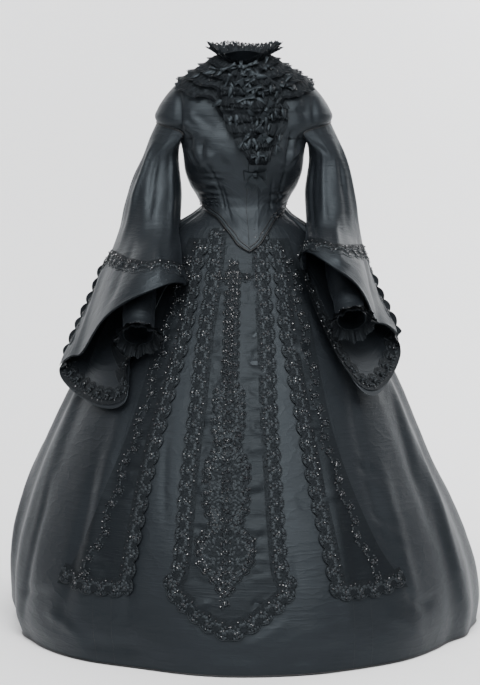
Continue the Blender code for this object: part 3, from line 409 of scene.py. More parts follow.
def skirt(turn, height):
    """Rings of the skirt: half ellipses that meet at the sides, moved out by the folds."""
    turn, height = np.broadcast_arrays(np.asarray(turn, float), np.asarray(height, float))
    ways = "right", "left", "front", "back"
    sizes = {name: through(SKIRT["height"], SKIRT[name], height) for name in ways}
    side = np.where(np.sin(turn) < 0, sizes["right"], sizes["left"])
    depth = np.where(np.cos(turn) > 0, sizes["front"], sizes["back"])
    out_x, out_y = np.sin(turn) / side, -np.cos(turn) / depth
    size = np.hypot(out_x, out_y)
    fold = skirt_folds(turn, height)
    x = side * np.sin(turn) + fold * out_x / size
    y = -depth * np.cos(turn) + fold * out_y / size
    return np.stack([x, y, height], -1)


def bodice_folds(x, level, front):
    """How far the bodice's cloth stands out: darts, creases at the arms and bust, and rungs of puckers."""
    fold = np.where(front > 0, creases(FRONT_CREASES, x, level), creases(BACK_CREASES, x, level))
    for low, high, inside, outside, count, deep in zip(*RUNGS.values(), strict=True):
        middle, half = -(inside + outside) / 2, abs(outside - inside) / 2
        place = (level - low) / (high - low)
        rung = np.sin(2 * math.pi * count * (place + 0.12 * np.sin(5 * place)) + 30 * (x - middle))
        window = bump(x - middle, half) * ease(place / 0.15) * ease((1 - place) / 0.15)
        fold = fold + np.where(front > 0, deep * rung * window, 0)
    return fold + 0.0006 * crumple(x, level, 0.06, 11)


def bodice(turn, level):
    """Rings of the bodice: rounded rectangles that dip at the front, with two soft cups and the creases."""
    turn, level = np.broadcast_arrays(np.asarray(turn, float), np.asarray(level, float))
    size = {name: through(BODICE["level"], BODICE[name], level) for name in BODICE if name != "level"}
    sine, cosine = np.sin(turn), np.cos(turn)
    power = 2 / size["squareness"]
    across = np.sign(sine) * np.abs(sine) ** power
    along = np.sign(cosine) * np.abs(cosine) ** power
    depth = np.where(cosine > 0, size["front"], size["back"])
    x, y = size["half"] * across, -depth * along
    end = np.where(cosine > 0, size["front_height"], size["back_height"])
    height = level + (end - level) * cosine**2
    cups = sum(bump(wrapped(turn - BODICE_LINE - s * BUST_TURN), BUST_SPREAD) for s in (-1, 1))
    out = BUST_OUT * cups * bump(level - BUST_HEIGHT, BUST_TALL)
    upper = ease((level - ARMPIT + 0.01) / 0.03) * (1 - ease((level - 0.25) / 0.05))
    deep = ARM_CREASE_DEEP * (0.8 + 0.2 * cosine)
    out = out - deep * upper * bump(np.abs(x) - ARM_CREASE_AT, ARM_CREASE_WIDE)
    clear = ease(np.abs(cosine) / 0.25) * ease((NECK_EDGE - level) / 0.03)
    out = out + clear * bodice_folds(x, level, cosine)
    length = np.hypot(x, y)
    return np.stack([x + out * x / length, y + out * y / length, height], -1)


def armhole_reach(level):
    """How far the armhole swings from the side of the body at a level: an egg, narrower towards its top."""
    share = np.clip((level - ARMPIT) / (ARM_TOP - ARMPIT), 0, 1)
    return ARMHOLE_SWING * 2 * np.sqrt(share * (1 - share)) * (1 - 0.75 * share**2)


def armhole(around):
    """The edge where sleeve meets bodice on the +X side: 0 is its top, a quarter round is the front."""
    level = ARMPIT + (ARM_TOP - ARMPIT) * (1 + np.cos(around)) / 2
    return bodice(math.pi / 2 - np.sign(np.sin(around)) * armhole_reach(level), level)


def ring_through(points, around):
    """A closed curve through four points, a quarter round apart."""
    outer, front, inner, back = np.array([(out, -forward, height) for out, forward, height in points])
    turn = np.asarray(around)[..., None]
    middle = (outer + front + inner + back) / 4
    return (
        middle
        + np.cos(turn) * (outer - inner) / 2
        + np.sin(turn) * (front - back) / 2
        + np.cos(2 * turn) * (outer + inner - front - back) / 4
    )


def off_skirt(points, side, gap):
    """The points, with those nearer the skirt than the gap moved straight out to it."""
    sizes = {name: through(SKIRT["height"], SKIRT[name], np.minimum(points[..., 2], 0)) for name in SKIRT}
    wide = sizes[side] + gap
    deep = np.where(points[..., 1] < 0, sizes["front"], sizes["back"]) + gap
    share = np.hypot(points[..., 0] / wide, points[..., 1] / deep)
    need = ease(-points[..., 2] / 0.04)
    grow = 1 + need * np.maximum(1 / np.maximum(share, 0.2) - 1, 0)
    return points * np.stack([grow, grow, np.ones_like(grow)], -1)


def sleeve(side):
    """The form of one hanging sleeve, drawn on the +X side: rings from the armhole to the mouth."""

    def form(around, down):
        around, down = np.broadcast_arrays(np.asarray(around, float), np.asarray(down, float))
        start = armhole(around)
        start[..., 0] += ARMPIT_CLEAR * (1 - np.cos(around)) / 2
        rings = [start] + [ring_through(ring, around) for ring in SLEEVE_RINGS[side]]
        for place, wide, out, forward, height in zip(*SLEEVE_PULLS[side].values(), strict=True):
            place, wide = math.radians(place), math.radians(wide)
            pull = np.array([out, -forward, height]) - ring_through(SLEEVE_RINGS[side][-1], place)
            near = bump(wrapped(around - place), wide)[..., None]
            rings[-1] = rings[-1] + pull * near
            rings[-2] = rings[-2] + 0.25 * pull * near
        rings = np.array(rings)
        points = np.stack([through(SLEEVE_DOWN, rings[..., axis], down) for axis in range(3)], -1)
        return off_skirt(points, side, SLEEVE_OFF_SKIRT)

    return form


def sleeve_folds(side):
    """How far a sleeve's cloth stands out from its form: its creases and a light crumple."""
    rows = dict(SLEEVE_CREASES[side])
    rows["x1"], rows["x2"] = (np.radians(rows[name]) * SLEEVE_ROUND for name in ("x1", "x2"))
    rows["y1"], rows["y2"] = (rows[name] * SLEEVE_LONG for name in ("y1", "y2"))

    def folds(around, down):
        x, y = wrapped(around) * SLEEVE_ROUND, down * SLEEVE_LONG
        start = ease(down / 0.12) * ease((math.pi - np.abs(wrapped(around))) / 0.2)
        return start * (creases(rows, x, y) + 0.0010 * crumple(x, y, 0.07, SEED + len(side)))

    return folds


def inner_sleeve(side):
    """The form of one fitted inner sleeve: rings square to the forearm. Its top fills the outer sleeve."""
    rings = INNER_SLEEVE[side]
    middles = np.stack([rings["out"], -rings["forward"], rings["height"]], -1)
    steps = np.linspace(0, 1, len(middles))
    outer_sleeve = Surface(sleeve(side))

    def form(around, down):
        around, down = np.broadcast_arrays(np.asarray(around, float), np.asarray(down, float))
        place = np.stack([through(steps, middles[:, axis], down) for axis in range(3)], -1)
        ahead = np.stack([through(steps, middles[:, axis], down + 0.02) for axis in range(3)], -1)
        behind = np.stack([through(steps, middles[:, axis], down - 0.02) for axis in range(3)], -1)
        along = (ahead - behind) / np.linalg.norm(ahead - behind, axis=-1, keepdims=True)
        out = np.array([1.0, 0, 0]) - along * along[..., :1]
        out /= np.linalg.norm(out, axis=-1, keepdims=True)
        front = np.cross(along, out)
        radius = through(steps, rings["radius"], down)[..., None]
        turn = around[..., None]
        tube = place + radius * (np.cos(turn) * out + np.sin(turn) * front)
        clear = INNER_TOP_CLEAR + INNER_AWAY * (1 - np.cos(around)) / 2
        fixed = outer_sleeve.at(around, np.full_like(around, INNER_FROM), -SILK - clear)
        share = np.clip(1 - down / 0.28, 0, 1.1)[..., None]
        return off_skirt(fixed * share + tube * (1 - share), side, INNER_OFF_SKIRT)

    return form


def inner_folds(around, down):
    """Ring wrinkles of the fitted sleeve, more towards the elbow, and a light crumple."""
    x, y = wrapped(around) * 0.037, down * 0.34
    rings = 0.0012 * np.sin(70 * y + 1.6 * np.sin(around + 0.6)) * (0.4 + 0.6 * np.sin(around) ** 2)
    return ease((down - 0.3) / 0.15) * ease((1 - down) / 0.1) * (rings + 0.0007 * crumple(x, y, 0.05, 21))


class Surface:
    """A form with the small folds on it, and mirrored to the -X side if so. Places and directions on it."""

    def __init__(self, form, folds=None, mirrored=False, limits=(-9.0, 9.0)):
        self.form, self.folds, self.limits = form, folds, limits
        self.way = np.array([-1, 1, 1]) if mirrored else np.array([1, 1, 1])
        self.mirrored = mirrored

    def spread(self, across, up):
        """The point, and how it moves with a unit of each parameter, before it is mirrored. Past its
        limits the form runs straight on."""
        step = 1e-4
        inside = np.clip(up, *self.limits)
        sideways = (self.form(across + step, inside) - self.form(across - step, inside)) / (2 * step)
        rise = (self.form(across, inside + step) - self.form(across, inside - step)) / (2 * step)
        return self.form(across, inside) + (up - inside)[..., None] * rise, sideways, rise

    def at(self, across, up, raised=0.0):
        """The point there, moved square to the cloth by its folds and the distance raised."""
        across, up, raised = np.broadcast_arrays(*(np.asarray(v, float) for v in (across, up, raised)))
        point, sideways, rise = self.spread(across, up)
        square = np.cross(sideways, rise)
        square /= np.linalg.norm(square, axis=-1, keepdims=True)
        if self.folds:
            raised = raised + self.folds(across, up)
        return (point + raised[..., None] * square) * self.way


def along_line(points):
    """How far each point of a line is from its start: the sum of the steps between them."""
    steps = np.linalg.norm(np.diff(points, axis=0), axis=-1)
    return np.concatenate([[0], np.cumsum(steps)])


class Line:
    """A line on a surface, given by its parameters at many places, read by its length in metres."""

    def __init__(self, surface, across, up):
        self.surface = surface
        self.across, self.up = (np.asarray(v, float) for v in np.broadcast_arrays(across, up))
        self.gone = along_line(surface.at(self.across, self.up))
        self.length = self.gone[-1]

    def beside(self, gone, offset):
        """The parameters of places a length along the line and an offset to its left, seen from outside."""
        gone, offset = np.broadcast_arrays(np.asarray(gone, float), np.asarray(offset, float))
        step = 0.002
        held = np.clip(gone, step, self.length - step)
        a, b = (np.interp(held, self.gone, v) for v in (self.across, self.up))
        a_next, b_next = (np.interp(held + step, self.gone, v) for v in (self.across, self.up))
        a_last, b_last = (np.interp(held - step, self.gone, v) for v in (self.across, self.up))
        _, sideways, rise = self.surface.spread(a, b)
        ahead = (a_next - a_last)[..., None] * sideways + (b_next - b_last)[..., None] * rise
        ahead /= np.linalg.norm(ahead, axis=-1, keepdims=True)
        square = np.cross(sideways, rise)
        square /= np.linalg.norm(square, axis=-1, keepdims=True)
        way = np.cross(square, ahead) * offset[..., None] + ahead * (gone - held)[..., None]
        aa, ab, bb = (np.sum(v * w, -1) for v, w in ((sideways, sideways), (sideways, rise), (rise, rise)))
        wa, wb = np.sum(way * sideways, -1), np.sum(way * rise, -1)
        size = aa * bb - ab * ab
        return a + (wa * bb - wb * ab) / size, b + (wb * aa - wa * ab) / size

    def at(self, gone, offset=0.0, raised=0.0):
        """Points a length along, an offset to the left and a distance out."""
        return self.surface.at(*self.beside(gone, offset), raised)

    def seats(self, gone, offset, raised):
        """Points, with the ways ahead, to the left and out at each."""
        step = 0.003
        here = self.at(gone, offset, raised)
        gone, offset = np.asarray(gone), np.asarray(offset)
        ahead = self.at(gone + step, offset, raised) - self.at(gone - step, offset, raised)
        left = self.at(gone, offset + step, raised) - here
        ahead /= np.linalg.norm(ahead, axis=-1, keepdims=True)
        out = np.cross(ahead, left)
        out /= np.linalg.norm(out, axis=-1, keepdims=True)
        if self.surface.mirrored:
            out = -out
        return here, ahead, np.cross(out, ahead) if not self.surface.mirrored else np.cross(ahead, out), out


def quads(rows, columns, closed=False):
    """The faces of a grid of points, rows by columns: each cell's corners, round its outer side."""
    r, c = np.meshgrid(np.arange(rows - 1), np.arange(columns if closed else columns - 1), indexing="ij")
    d = (c + 1) % columns
    low, high = r * columns, (r + 1) * columns
    return np.stack([low + c, low + d, high + d, high + c], -1).reshape(-1, 4)


def cloth_uv(grid):
    """Each point's place on the flat cloth in metres: its distance along the middle row and middle column."""
    rows, columns = grid.shape[:2]
    u = along_line(grid[rows // 2])
    v = along_line(grid[:, columns // 2])
    return np.stack(np.broadcast_arrays(u[None], v[:, None]), -1)


def joined(parts):
    """Several (points, faces, places on the cloth) as one."""
    counts = np.cumsum([0] + [len(points) for points, _, _ in parts[:-1]])
    return (
        np.concatenate([points for points, _, _ in parts]),
        np.concatenate([faces + start for (_, faces, _), start in zip(parts, counts, strict=True)]),
        np.concatenate([uv for _, _, uv in parts]),
    )


def sheet_part(grid, closed=False, flip=False):
    """A grid of points as one layer of cells."""
    faces = quads(*grid.shape[:2], closed)
    if flip:
        faces = faces[:, ::-1]
    return grid.reshape(-1, 3), faces, cloth_uv(grid).reshape(-1, 2)


def shell_part(outer, inner, closed=False, flip=False):
    """Two grids of points as a thin closed wall with rims."""
    rows, columns = outer.shape[:2]
    front = quads(rows, columns, closed)
    back = front[:, ::-1] + rows * columns
    index = np.arange(rows * columns).reshape(rows, columns)
    ends = np.concatenate([index, index[:, :1]], 1) if closed else index
    rims = []
    edges = [ends[0][::-1], ends[-1]]
    if not closed:
        edges += [index[:, 0], index[::-1, -1]]
    for line in edges:
        beneath = line + rows * columns
        rims.append(np.stack([line[:-1], line[1:], beneath[1:], beneath[:-1]], -1))
    faces = np.concatenate([front, back, *rims])
    if flip:
        faces = faces[:, ::-1]
    points = np.concatenate([outer.reshape(-1, 3), inner.reshape(-1, 3)])
    return points, faces, np.tile(cloth_uv(outer).reshape(-1, 2), (2, 1))


def tube_part(line, radius, sides=6, closed=False, guide=None):
    """A round cord along a line of points: a ring of sides at each, square to the line."""
    ahead = np.roll(line, -1, 0) - np.roll(line, 1, 0)
    if not closed:
        ahead[0], ahead[-1] = line[1] - line[0], line[-1] - line[-2]
    ahead /= np.linalg.norm(ahead, axis=-1, keepdims=True)
    if guide is None:
        guide = np.where(np.abs(ahead[:, 2:]) > 0.8, np.array([[1.0, 0, 0]]), np.array([[0, 0, 1.0]]))
    first = np.cross(ahead, guide)
    first /= np.linalg.norm(first, axis=-1, keepdims=True)
    second = np.cross(ahead, first)
    turn = np.linspace(0, 2 * math.pi, sides + 1)[:-1]
    ring = np.cos(turn)[None, :, None] * first[:, None] + np.sin(turn)[None, :, None] * second[:, None]
    radius = np.broadcast_to(radius, len(line))
    grid = line[:, None] + radius[:, None, None] * ring
    if closed:
        grid = np.concatenate([grid, grid[:1]])
    return sheet_part(grid, closed=True)


def leaf_part(length, width, dome, rows=6, columns=5, curl=0.0):
    """A leaf lying along x from 0 to its length: widest before its middle, domed, with a vein down it."""
    u, v = np.linspace(0, 1, rows)[:, None], np.linspace(-1, 1, columns)[None]
    half = width / 2 * (0.06 + np.sin(math.pi * u**0.8) ** 0.8)
    x = length * u + 0 * v
    y = half * v
    z = dome * (0.15 + np.sin(math.pi * u)) * (1 - v * v) - 0.3 * dome * bump(v, 0.25) + curl * u * u
    grid = np.stack(np.broadcast_arrays(x, y, z), -1)
    return sheet_part(grid, flip=True)


def loop_part(length, width, puff, rows=9, columns=5):
    """A ribbon loop along x: the ribbon rises from 0, turns over at its end and comes back beneath itself."""
    turn = np.linspace(-0.1, 1.1, rows)[:, None] * math.pi
    v = np.linspace(-1, 1, columns)[None]
    reach = np.sin(np.clip(turn, 0, math.pi)) ** 0.7
    x = length * reach + 0 * v
    z = puff * (1 - np.cos(np.clip(turn, 0, math.pi))) / 2 * (0.35 + 0.65 * reach) + 0.1 * puff * v * v
    y = width / 2 * v * (0.3 + 0.7 * reach)
    return sheet_part(np.stack(np.broadcast_arrays(x, y, z), -1))


def bead_part(radius):
    """A faceted bead: the twelve corners and twenty faces of an icosahedron."""
    g = (1 + math.sqrt(5)) / 2
    corners = [(-1, g, 0), (1, g, 0), (-1, -g, 0), (1, -g, 0), (0, -1, g), (0, 1, g), (0, -1, -g),
               (0, 1, -g), (g, 0, -1), (g, 0, 1), (-g, 0, -1), (-g, 0, 1)]
    faces = [(0, 11, 5), (0, 5, 1), (0, 1, 7), (0, 7, 10), (0, 10, 11), (1, 5, 9), (5, 11, 4),
             (11, 10, 2), (10, 7, 6), (7, 1, 8), (3, 9, 4), (3, 4, 2), (3, 2, 6), (3, 6, 8),
             (3, 8, 9), (4, 9, 5), (2, 4, 11), (6, 2, 10), (8, 6, 7), (9, 8, 1)]
    points = np.array(corners) * radius / math.hypot(1, g)
    return points, np.array(faces), points[:, :2] * 0


def repeated(part, seats, angle=0.0, scale=1.0, flip=False):
    """The part at every seat, turned by its angle there and scaled: one joined part."""
    points, faces, uv = part
    here, ahead, left, out = (np.reshape(v, (-1, 3)) for v in seats)
    count = len(here)
    angle, scale = (np.broadcast_to(v, count).astype(float) for v in (angle, scale))
    cos, sin = np.cos(angle)[:, None], np.sin(angle)[:, None]
    way_x, way_y = cos * ahead + sin * left, cos * left - sin * ahead
    local = points[None] * scale[:, None, None]
    made = here[:, None] + local[..., :1] * way_x[:, None] + local[..., 1:2] * way_y[:, None]
    made = made + local[..., 2:] * out[:, None]
    many = (faces[None] + (np.arange(count) * len(points))[:, None, None]).reshape(-1, faces.shape[1])
    return made.reshape(-1, 3), many[:, ::-1] if flip else many, np.tile(uv, (count, 1))


def piece_of(name, part, material, smooth=True, stands_for=()):
    """One object from a part's arrays, riding on the dress."""
    points, faces, uv = part
    data = bpy.data.meshes.new(name)
    data.vertices.add(len(points))
    data.vertices.foreach_set("co", np.asarray(points, np.float32).ravel())
    data.loops.add(faces.size)
    data.loops.foreach_set("vertex_index", faces.astype(np.int32).ravel())
    data.polygons.add(len(faces))
    data.polygons.foreach_set("loop_start", np.arange(0, faces.size, faces.shape[1], dtype=np.int32))
    data.update(calc_edges=True)
    data.uv_layers.new(name="cloth").data.foreach_set("uv", uv[faces.ravel()].astype(np.float32).ravel())
    data.polygons.foreach_set("use_smooth", np.full(len(faces), smooth))
    if smooth:
        data.set_sharp_from_angle(angle=RIM_ANGLE)
    data.materials.append(material)
    made = bpy.data.objects.new(name, data)
    bpy.context.scene.collection.objects.link(made)
    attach(made, "root")
    if stands_for:
        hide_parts(*stands_for)
    return made


def cut_of(grid, closed=False):
    """The flat piece that a grid was cut from: its widest row, its longest column, and its cells' area."""
    around = np.concatenate([grid, grid[:, :1]], 1) if closed else grid
    width = np.linalg.norm(np.diff(around, axis=1), axis=-1).sum(1).max()
    length = np.linalg.norm(np.diff(around, axis=0), axis=-1).sum(0).max()
    one, two = around[1:, 1:] - around[:-1, :-1], around[1:, :-1] - around[:-1, 1:]
    area = 0.5 * np.linalg.norm(np.cross(one, two), axis=-1).sum()
    return (width, length), min(area, width * length)


def cloth_piece(name, surface, across, up, material, thick=SILK, raised=0.0, closed=False,
                stands_for=()):
    """A thin shell of cloth cut from a surface, with the flat size and area that it was cut to."""
    outer = surface.at(across, up, raised)
    inner = surface.at(across, up, raised - thick)
    part = shell_part(outer, inner, closed, flip=surface.mirrored)
    made = piece_of(name, part, material, stands_for=stands_for)
    flat, area = cut_of(outer, closed)
    return made, flat, area


class Number:
    """A number socket of a material, with the arithmetic signs making Math nodes."""

    def __init__(self, tree, socket):
        self.tree, self.socket = tree, socket

    def combined(self, operation, first, second=0.0):
        node = self.tree.nodes.new("ShaderNodeMath")
        node.operation = operation
        for slot, value in zip(node.inputs, (first, second), strict=False):
            if isinstance(value, Number):
                self.tree.links.new(value.socket, slot)
            else:
                slot.default_value = value
        return Number(self.tree, node.outputs[0])

    def __add__(self, other):
        return self.combined("ADD", self, other)

    __radd__ = __add__

    def __mul__(self, other):
        return self.combined("MULTIPLY", self, other)

    __rmul__ = __mul__

    def __sub__(self, other):
        return self.combined("SUBTRACT", self, other)

    def __rsub__(self, other):
        return self.combined("SUBTRACT", other, self)

    def __truediv__(self, other):
        return self.combined("DIVIDE", self, other)

    def __pow__(self, other):
        return self.combined("POWER", self, other)

    def __gt__(self, other):
        return self.combined("GREATER_THAN", self, other)

    def __abs__(self):
        return self.combined("ABSOLUTE", self)

    def sine(self):
        return self.combined("SINE", self)

    def most(self, other):
        return self.combined("MAXIMUM", self, other)

    def least(self, other):
        return self.combined("MINIMUM", self, other)


class Paint:
    """One Principled material: its fixed settings, and nodes for what varies over the cloth."""

    def __init__(self, name, **settings):
        self.material = bpy.data.materials.new(name)
        self.material.use_nodes = True
        self.tree = self.material.node_tree
        self.shader = self.tree.nodes["Principled BSDF"]
        for slot, value in settings.items():
            self.feed(self.shader.inputs[slot.replace("_", " ")], value)

    def feed(self, slot, value):
        if isinstance(value, Number):
            self.tree.links.new(value.socket, slot)
        elif isinstance(value, bpy.types.NodeSocket):
            self.tree.links.new(value, slot)
        elif np.size(value) == 3 and len(slot.default_value) == 4:
            slot.default_value = (*value, 1)
        else:
            slot.default_value = value

    def node(self, kind, settings=None, **inputs):
        made = self.tree.nodes.new(kind)
        for key, value in (settings or {}).items():
            setattr(made, key, value)
        for slot, value in inputs.items():
            self.feed(made.inputs[slot.replace("_", " ")], value)
        return made

    def number(self, node, output="Fac"):
        return Number(self.tree, node.outputs[output])

    def noise(self, scale, detail=2.0, roughness=0.5, distortion=0.0, where="Object"):
        spot = self.node("ShaderNodeTexCoord").outputs[where]
        return self.number(self.node("ShaderNodeTexNoise", Vector=spot, Scale=scale, Detail=detail,
                                     Roughness=roughness, Distortion=distortion))

    def noise_over(self, x, y, detail=2.0, roughness=0.5):
        """Noise over two numbers, so that it can be longer one way than the other."""
        spot = self.node("ShaderNodeCombineXYZ", X=x, Y=y).outputs["Vector"]
        return self.number(self.node("ShaderNodeTexNoise", Vector=spot, Scale=1.0, Detail=detail,
                                     Roughness=roughness))

    def flat_place(self):
        """The place on the flat cloth, in metres, as two numbers."""
        parts = self.node("ShaderNodeSeparateXYZ", Vector=self.node("ShaderNodeTexCoord").outputs["UV"])
        return self.number(parts, "X"), self.number(parts, "Y")

    def colours(self, share, dark, light):
        mixed = self.node("ShaderNodeMix", {"data_type": "RGBA"})
        self.feed(mixed.inputs["Factor"], share)
        self.feed(mixed.inputs[6], dark)
        self.feed(mixed.inputs[7], light)
        self.feed(self.shader.inputs["Base Color"], mixed.outputs[2])

    def relief(self, *layers):
        """Bumps one after the other, each a (height, distance, strength)."""
        below = None
        for height, distance, strength in layers:
            made = self.node("ShaderNodeBump", Height=height, Distance=distance, Strength=strength)
            if below:
                self.tree.links.new(below, made.inputs["Normal"])
            below = made.outputs["Normal"]
        self.feed(self.shader.inputs["Normal"], below)


def silk_paint(name, painted_shade_scale):
    """Black taffeta: fine ribs across the cloth, crisp level wrinkles in patches, and a blue-grey sheen. A
    scale below 1 darkens its colours and shine: the same silk with painted shade.
    """
    paint = Paint(name, Sheen_Weight=0.03, Sheen_Roughness=0.35, Sheen_Tint=(0.55, 0.66, 0.80),
                  Specular_IOR_Level=0.29 * painted_shade_scale, Specular_Tint=(0.80, 0.92, 1.0))
    u, v = paint.flat_place()
    rib = (v * (2 * math.pi / 0.0009)).sine() * 0.5 + 0.5
    warp = (u * (2 * math.pi / 0.0005)).sine() * 0.5 + 0.5
    slub = paint.noise(900.0, 2.0)
    cloud = paint.noise(6.0, 3.0, 0.5)
    level = paint.noise_over(u * 9.0 + v * 3.0, v * 46.0, 3.0, 0.5)
    slant = paint.noise_over(u * 16.0 - v * 9.0, v * 20.0 + u * 6.0, 2.0, 0.45)
    crisp = (1.0 - abs(level * 2.0 - 1.0)) ** 7.0 * cloud
    edge = (1.0 - abs(slant * 2.0 - 1.0)) ** 8.0 * (1.0 - cloud)
    paint.colours(cloud * 0.5 + rib * 0.2 + slub * 0.3, 
                  [painted_shade_scale * c for c in (0.0029, 0.0036, 0.0046)], [painted_shade_scale * c for c in (0.0078, 0.0094, 0.0118)])
    paint.feed(paint.shader.inputs["Roughness"], 0.38 + cloud * 0.10 + slub * 0.08)
    wrinkles = level * 0.3 + crisp + edge
    weave = rib * 0.7 + warp * 0.3 + slub * 0.4
    paint.relief((wrinkles, 0.0028, 0.24), (weave, 0.00012, 0.35))
    return paint.material


def lace_paint(name, open_net):
    """Black lace: a diamond net of threads, with woven flowers between. Open lace lets light through."""
    paint = Paint(name, Specular_IOR_Level=0.16, Specular_Tint=(0.80, 0.92, 1.0))
    u, v = paint.flat_place()
    pitch = 0.0030
    slant_one = abs(((u + v) * (math.pi / pitch)).sine())
    slant_two = abs(((u - v) * (math.pi / pitch)).sine())
    thread = 1.0 - slant_one.least(slant_two)
    flower = paint.noise(210.0, 1.0, 0.4, 0.0, "UV")
    worked = flower > (0.42 if open_net else 0.50)
    relief = thread.most(worked * 0.9)
    paint.colours(relief, (0.0012, 0.0014, 0.0018), (0.0048, 0.0056, 0.0068))
    paint.feed(paint.shader.inputs["Roughness"], 0.66 - relief * 0.12)
    paint.relief((relief, 0.0006, 0.6))
    if open_net:
        footing = 1.0 - (v > 0.0035)
        paint.feed(paint.shader.inputs["Alpha"], (thread > 0.42).most(worked).most(footing))
    return paint.material


def thread_paint():
    """Raised silk thread work: leaves and cords with a fine lie of stitches along them."""
    paint = Paint("thread_work", Specular_IOR_Level=0.36, Specular_Tint=(0.80, 0.92, 1.0))
    u, v = paint.flat_place()
    stitch = ((u + v * 0.4) * (2 * math.pi / 0.0008)).sine() * 0.5 + 0.5
    uneven = paint.noise(320.0, 2.0)
    paint.colours(stitch * 0.4 + uneven * 0.6, (0.0010, 0.0012, 0.0015), (0.0064, 0.0074, 0.0090))
    paint.feed(paint.shader.inputs["Roughness"], 0.36 + uneven * 0.18)
    paint.relief((stitch * 0.6 + uneven * 0.4, 0.0003, 0.5))
    return paint.material


def ribbon_paint():
    """Black satin ribbon with a soft shine and a fine weave along it."""
    paint = Paint("satin_ribbon", Specular_IOR_Level=0.30, Specular_Tint=(0.75, 0.9, 1.0))
    u, v = paint.flat_place()
    warp = (v * (2 * math.pi / 0.0006)).sine() * 0.5 + 0.5
    soft = paint.noise(60.0, 3.0, 0.5, 0.4)
    paint.colours(soft * 0.7 + warp * 0.3, (0.0012, 0.0014, 0.0018), (0.0058, 0.0066, 0.0080))
    paint.feed(paint.shader.inputs["Roughness"], 0.38 + soft * 0.16)
    paint.relief((soft, 0.002, 0.25), (warp, 0.0001, 0.3))
    return paint.material


def cord_paint():
    """A covered cord: silk wound round a core, with a slanting line of cover."""
    paint = Paint("covered_cord", Specular_IOR_Level=0.40, Roughness=0.40)
    u, v = paint.flat_place()
    slant = ((u * 3.0 + v) * (2 * math.pi / 0.004)).sine() * 0.5 + 0.5
    fine = paint.noise(500.0, 2.0)
    paint.colours(slant * 0.5 + fine * 0.5, (0.0016, 0.0018, 0.0022), (0.0062, 0.0068, 0.0080))
    paint.relief((slant * 0.6 + fine * 0.4, 0.0003, 0.4))
    return paint.material


def jet_paint():
    """Polished jet: nearly black, smooth, with faint clouds."""
    paint = Paint("jet_beads", Specular_IOR_Level=0.8, Coat_Weight=0.6, Coat_Roughness=0.05)
    cloud = paint.noise(700.0, 2.0)
    paint.colours(cloud, (0.004, 0.004, 0.005), (0.018, 0.018, 0.022))
    paint.feed(paint.shader.inputs["Roughness"], 0.06 + cloud * 0.08)
    return paint.material


SILK_CLOTH = silk_paint("silk_cloth", 1.0)
# The tabs' silk is the same silk painted darker, 0.68 of its colour and shine: painted shade.
TAB_SILK_PAINTED_SHADE = silk_paint("silk_of_tabs_painted_shade", 0.68)
LACE_CLOTH = lace_paint("lace_ground", False)
OPEN_LACE = lace_paint("open_lace", True)
THREAD = thread_paint()
SATIN = ribbon_paint()
CORD = cord_paint()
JET = jet_paint()

SKIRT_SURFACE = Surface(skirt)
BODICE_SURFACE = Surface(bodice)
SLEEVES = {
    side: Surface(sleeve(side), sleeve_folds(side), side == "right", (0.002, 0.998))
    for side in ("left", "right")
}


def sideways_skirt(sideways, height):
    """The skirt at a distance sideways of its front line, in metres."""
    half = through(SKIRT["height"], (SKIRT["right"] + SKIRT["left"]) / 2, height)
    return skirt(SKIRT_LINE + np.arcsin(np.clip(sideways / half, -0.95, 0.95)), height)


TAB_SURFACE = Surface(sideways_skirt)


def skirt_gores():
    """The skirt's gores with their pleats and creases, and the braid round the hem."""
    height = HEM + (0 - HEM) * np.linspace(0, 1, SKIRT_ROWS)[:, None] ** 1.15
    gap = 0.0002 / 0.4
    for name, (first, last, columns) in SKIRT_GORES.items():
        turn = SKIRT_LINE + np.linspace(first + gap, last - gap, columns)[None]
        made, flat, area = cloth_piece(f"silk_{name}", SKIRT_SURFACE, turn, height, SILK_CLOTH,
                                       stands_for=[name])
    turn = np.linspace(-math.pi, math.pi, 481)[:-1]
    low = skirt(turn, HEM) - np.array([0, 0, 0.0005])
    piece_of("hem_braid", tube_part(low, 0.0022, 6, closed=True), CORD)
    cords = []
    for seam in (-BACK_SEAM, -STRIP_SEAM, -FRONT_SEAM, FRONT_SEAM, STRIP_SEAM, BACK_SEAM):
        height = np.linspace(HEM, -0.03 if abs(seam) == BACK_SEAM else -0.89, 200)
        cords.append(tube_part(SKIRT_SURFACE.at(SKIRT_LINE + seam, height, -0.0002), 0.0004, 4))
    piece_of("skirt_seams", joined(cords), CORD)


def waistband():
    """The band inside the bodice that the skirt hangs from."""
    turn = np.linspace(-math.pi, math.pi, 97)[:-1][None]
    height = np.linspace(0.0003, BAND_TALL, 5)[:, None]
    ring = skirt(turn, 0.0) + np.zeros((5, 1, 1))
    outer = np.concatenate([ring[..., :2], np.broadcast_to(height[..., None], (5, 96, 1))], -1)
    inner = outer * np.array([1 - SILK / SKIRT["left"][-1]] * 2 + [1])
    made = piece_of("silk_waistband", shell_part(outer, inner, closed=True), SILK_CLOTH,
                    stands_for=["waistband"])
    flat, area = cut_of(outer, closed=True)


def bodice_hem(turn):
    """Height of the bodice's lower edge at a turn."""
    return through(BODICE_HEM["turn"], BODICE_HEM["height"], np.degrees(np.abs(wrapped(turn - BODICE_LINE))))


def bodice_levels(low, top_rows=40, low_rows=46):
    """Rows of a bodice piece at each column: from its lower edge past the armhole to the neck."""
    share = np.linspace(0, 1, low_rows)[:, None]
    passed = (1 - np.cos(np.linspace(0, math.pi, 18)[1:])) / 2
    above = np.linspace(ARM_TOP, NECK_EDGE, top_rows)[1:]
    high = np.concatenate([ARMPIT + (ARM_TOP - ARMPIT) * passed, above])[:, None]
    high = np.broadcast_to(high, (len(high), low.shape[-1]))
    return np.concatenate([low + (ARMPIT - low) * share, high])


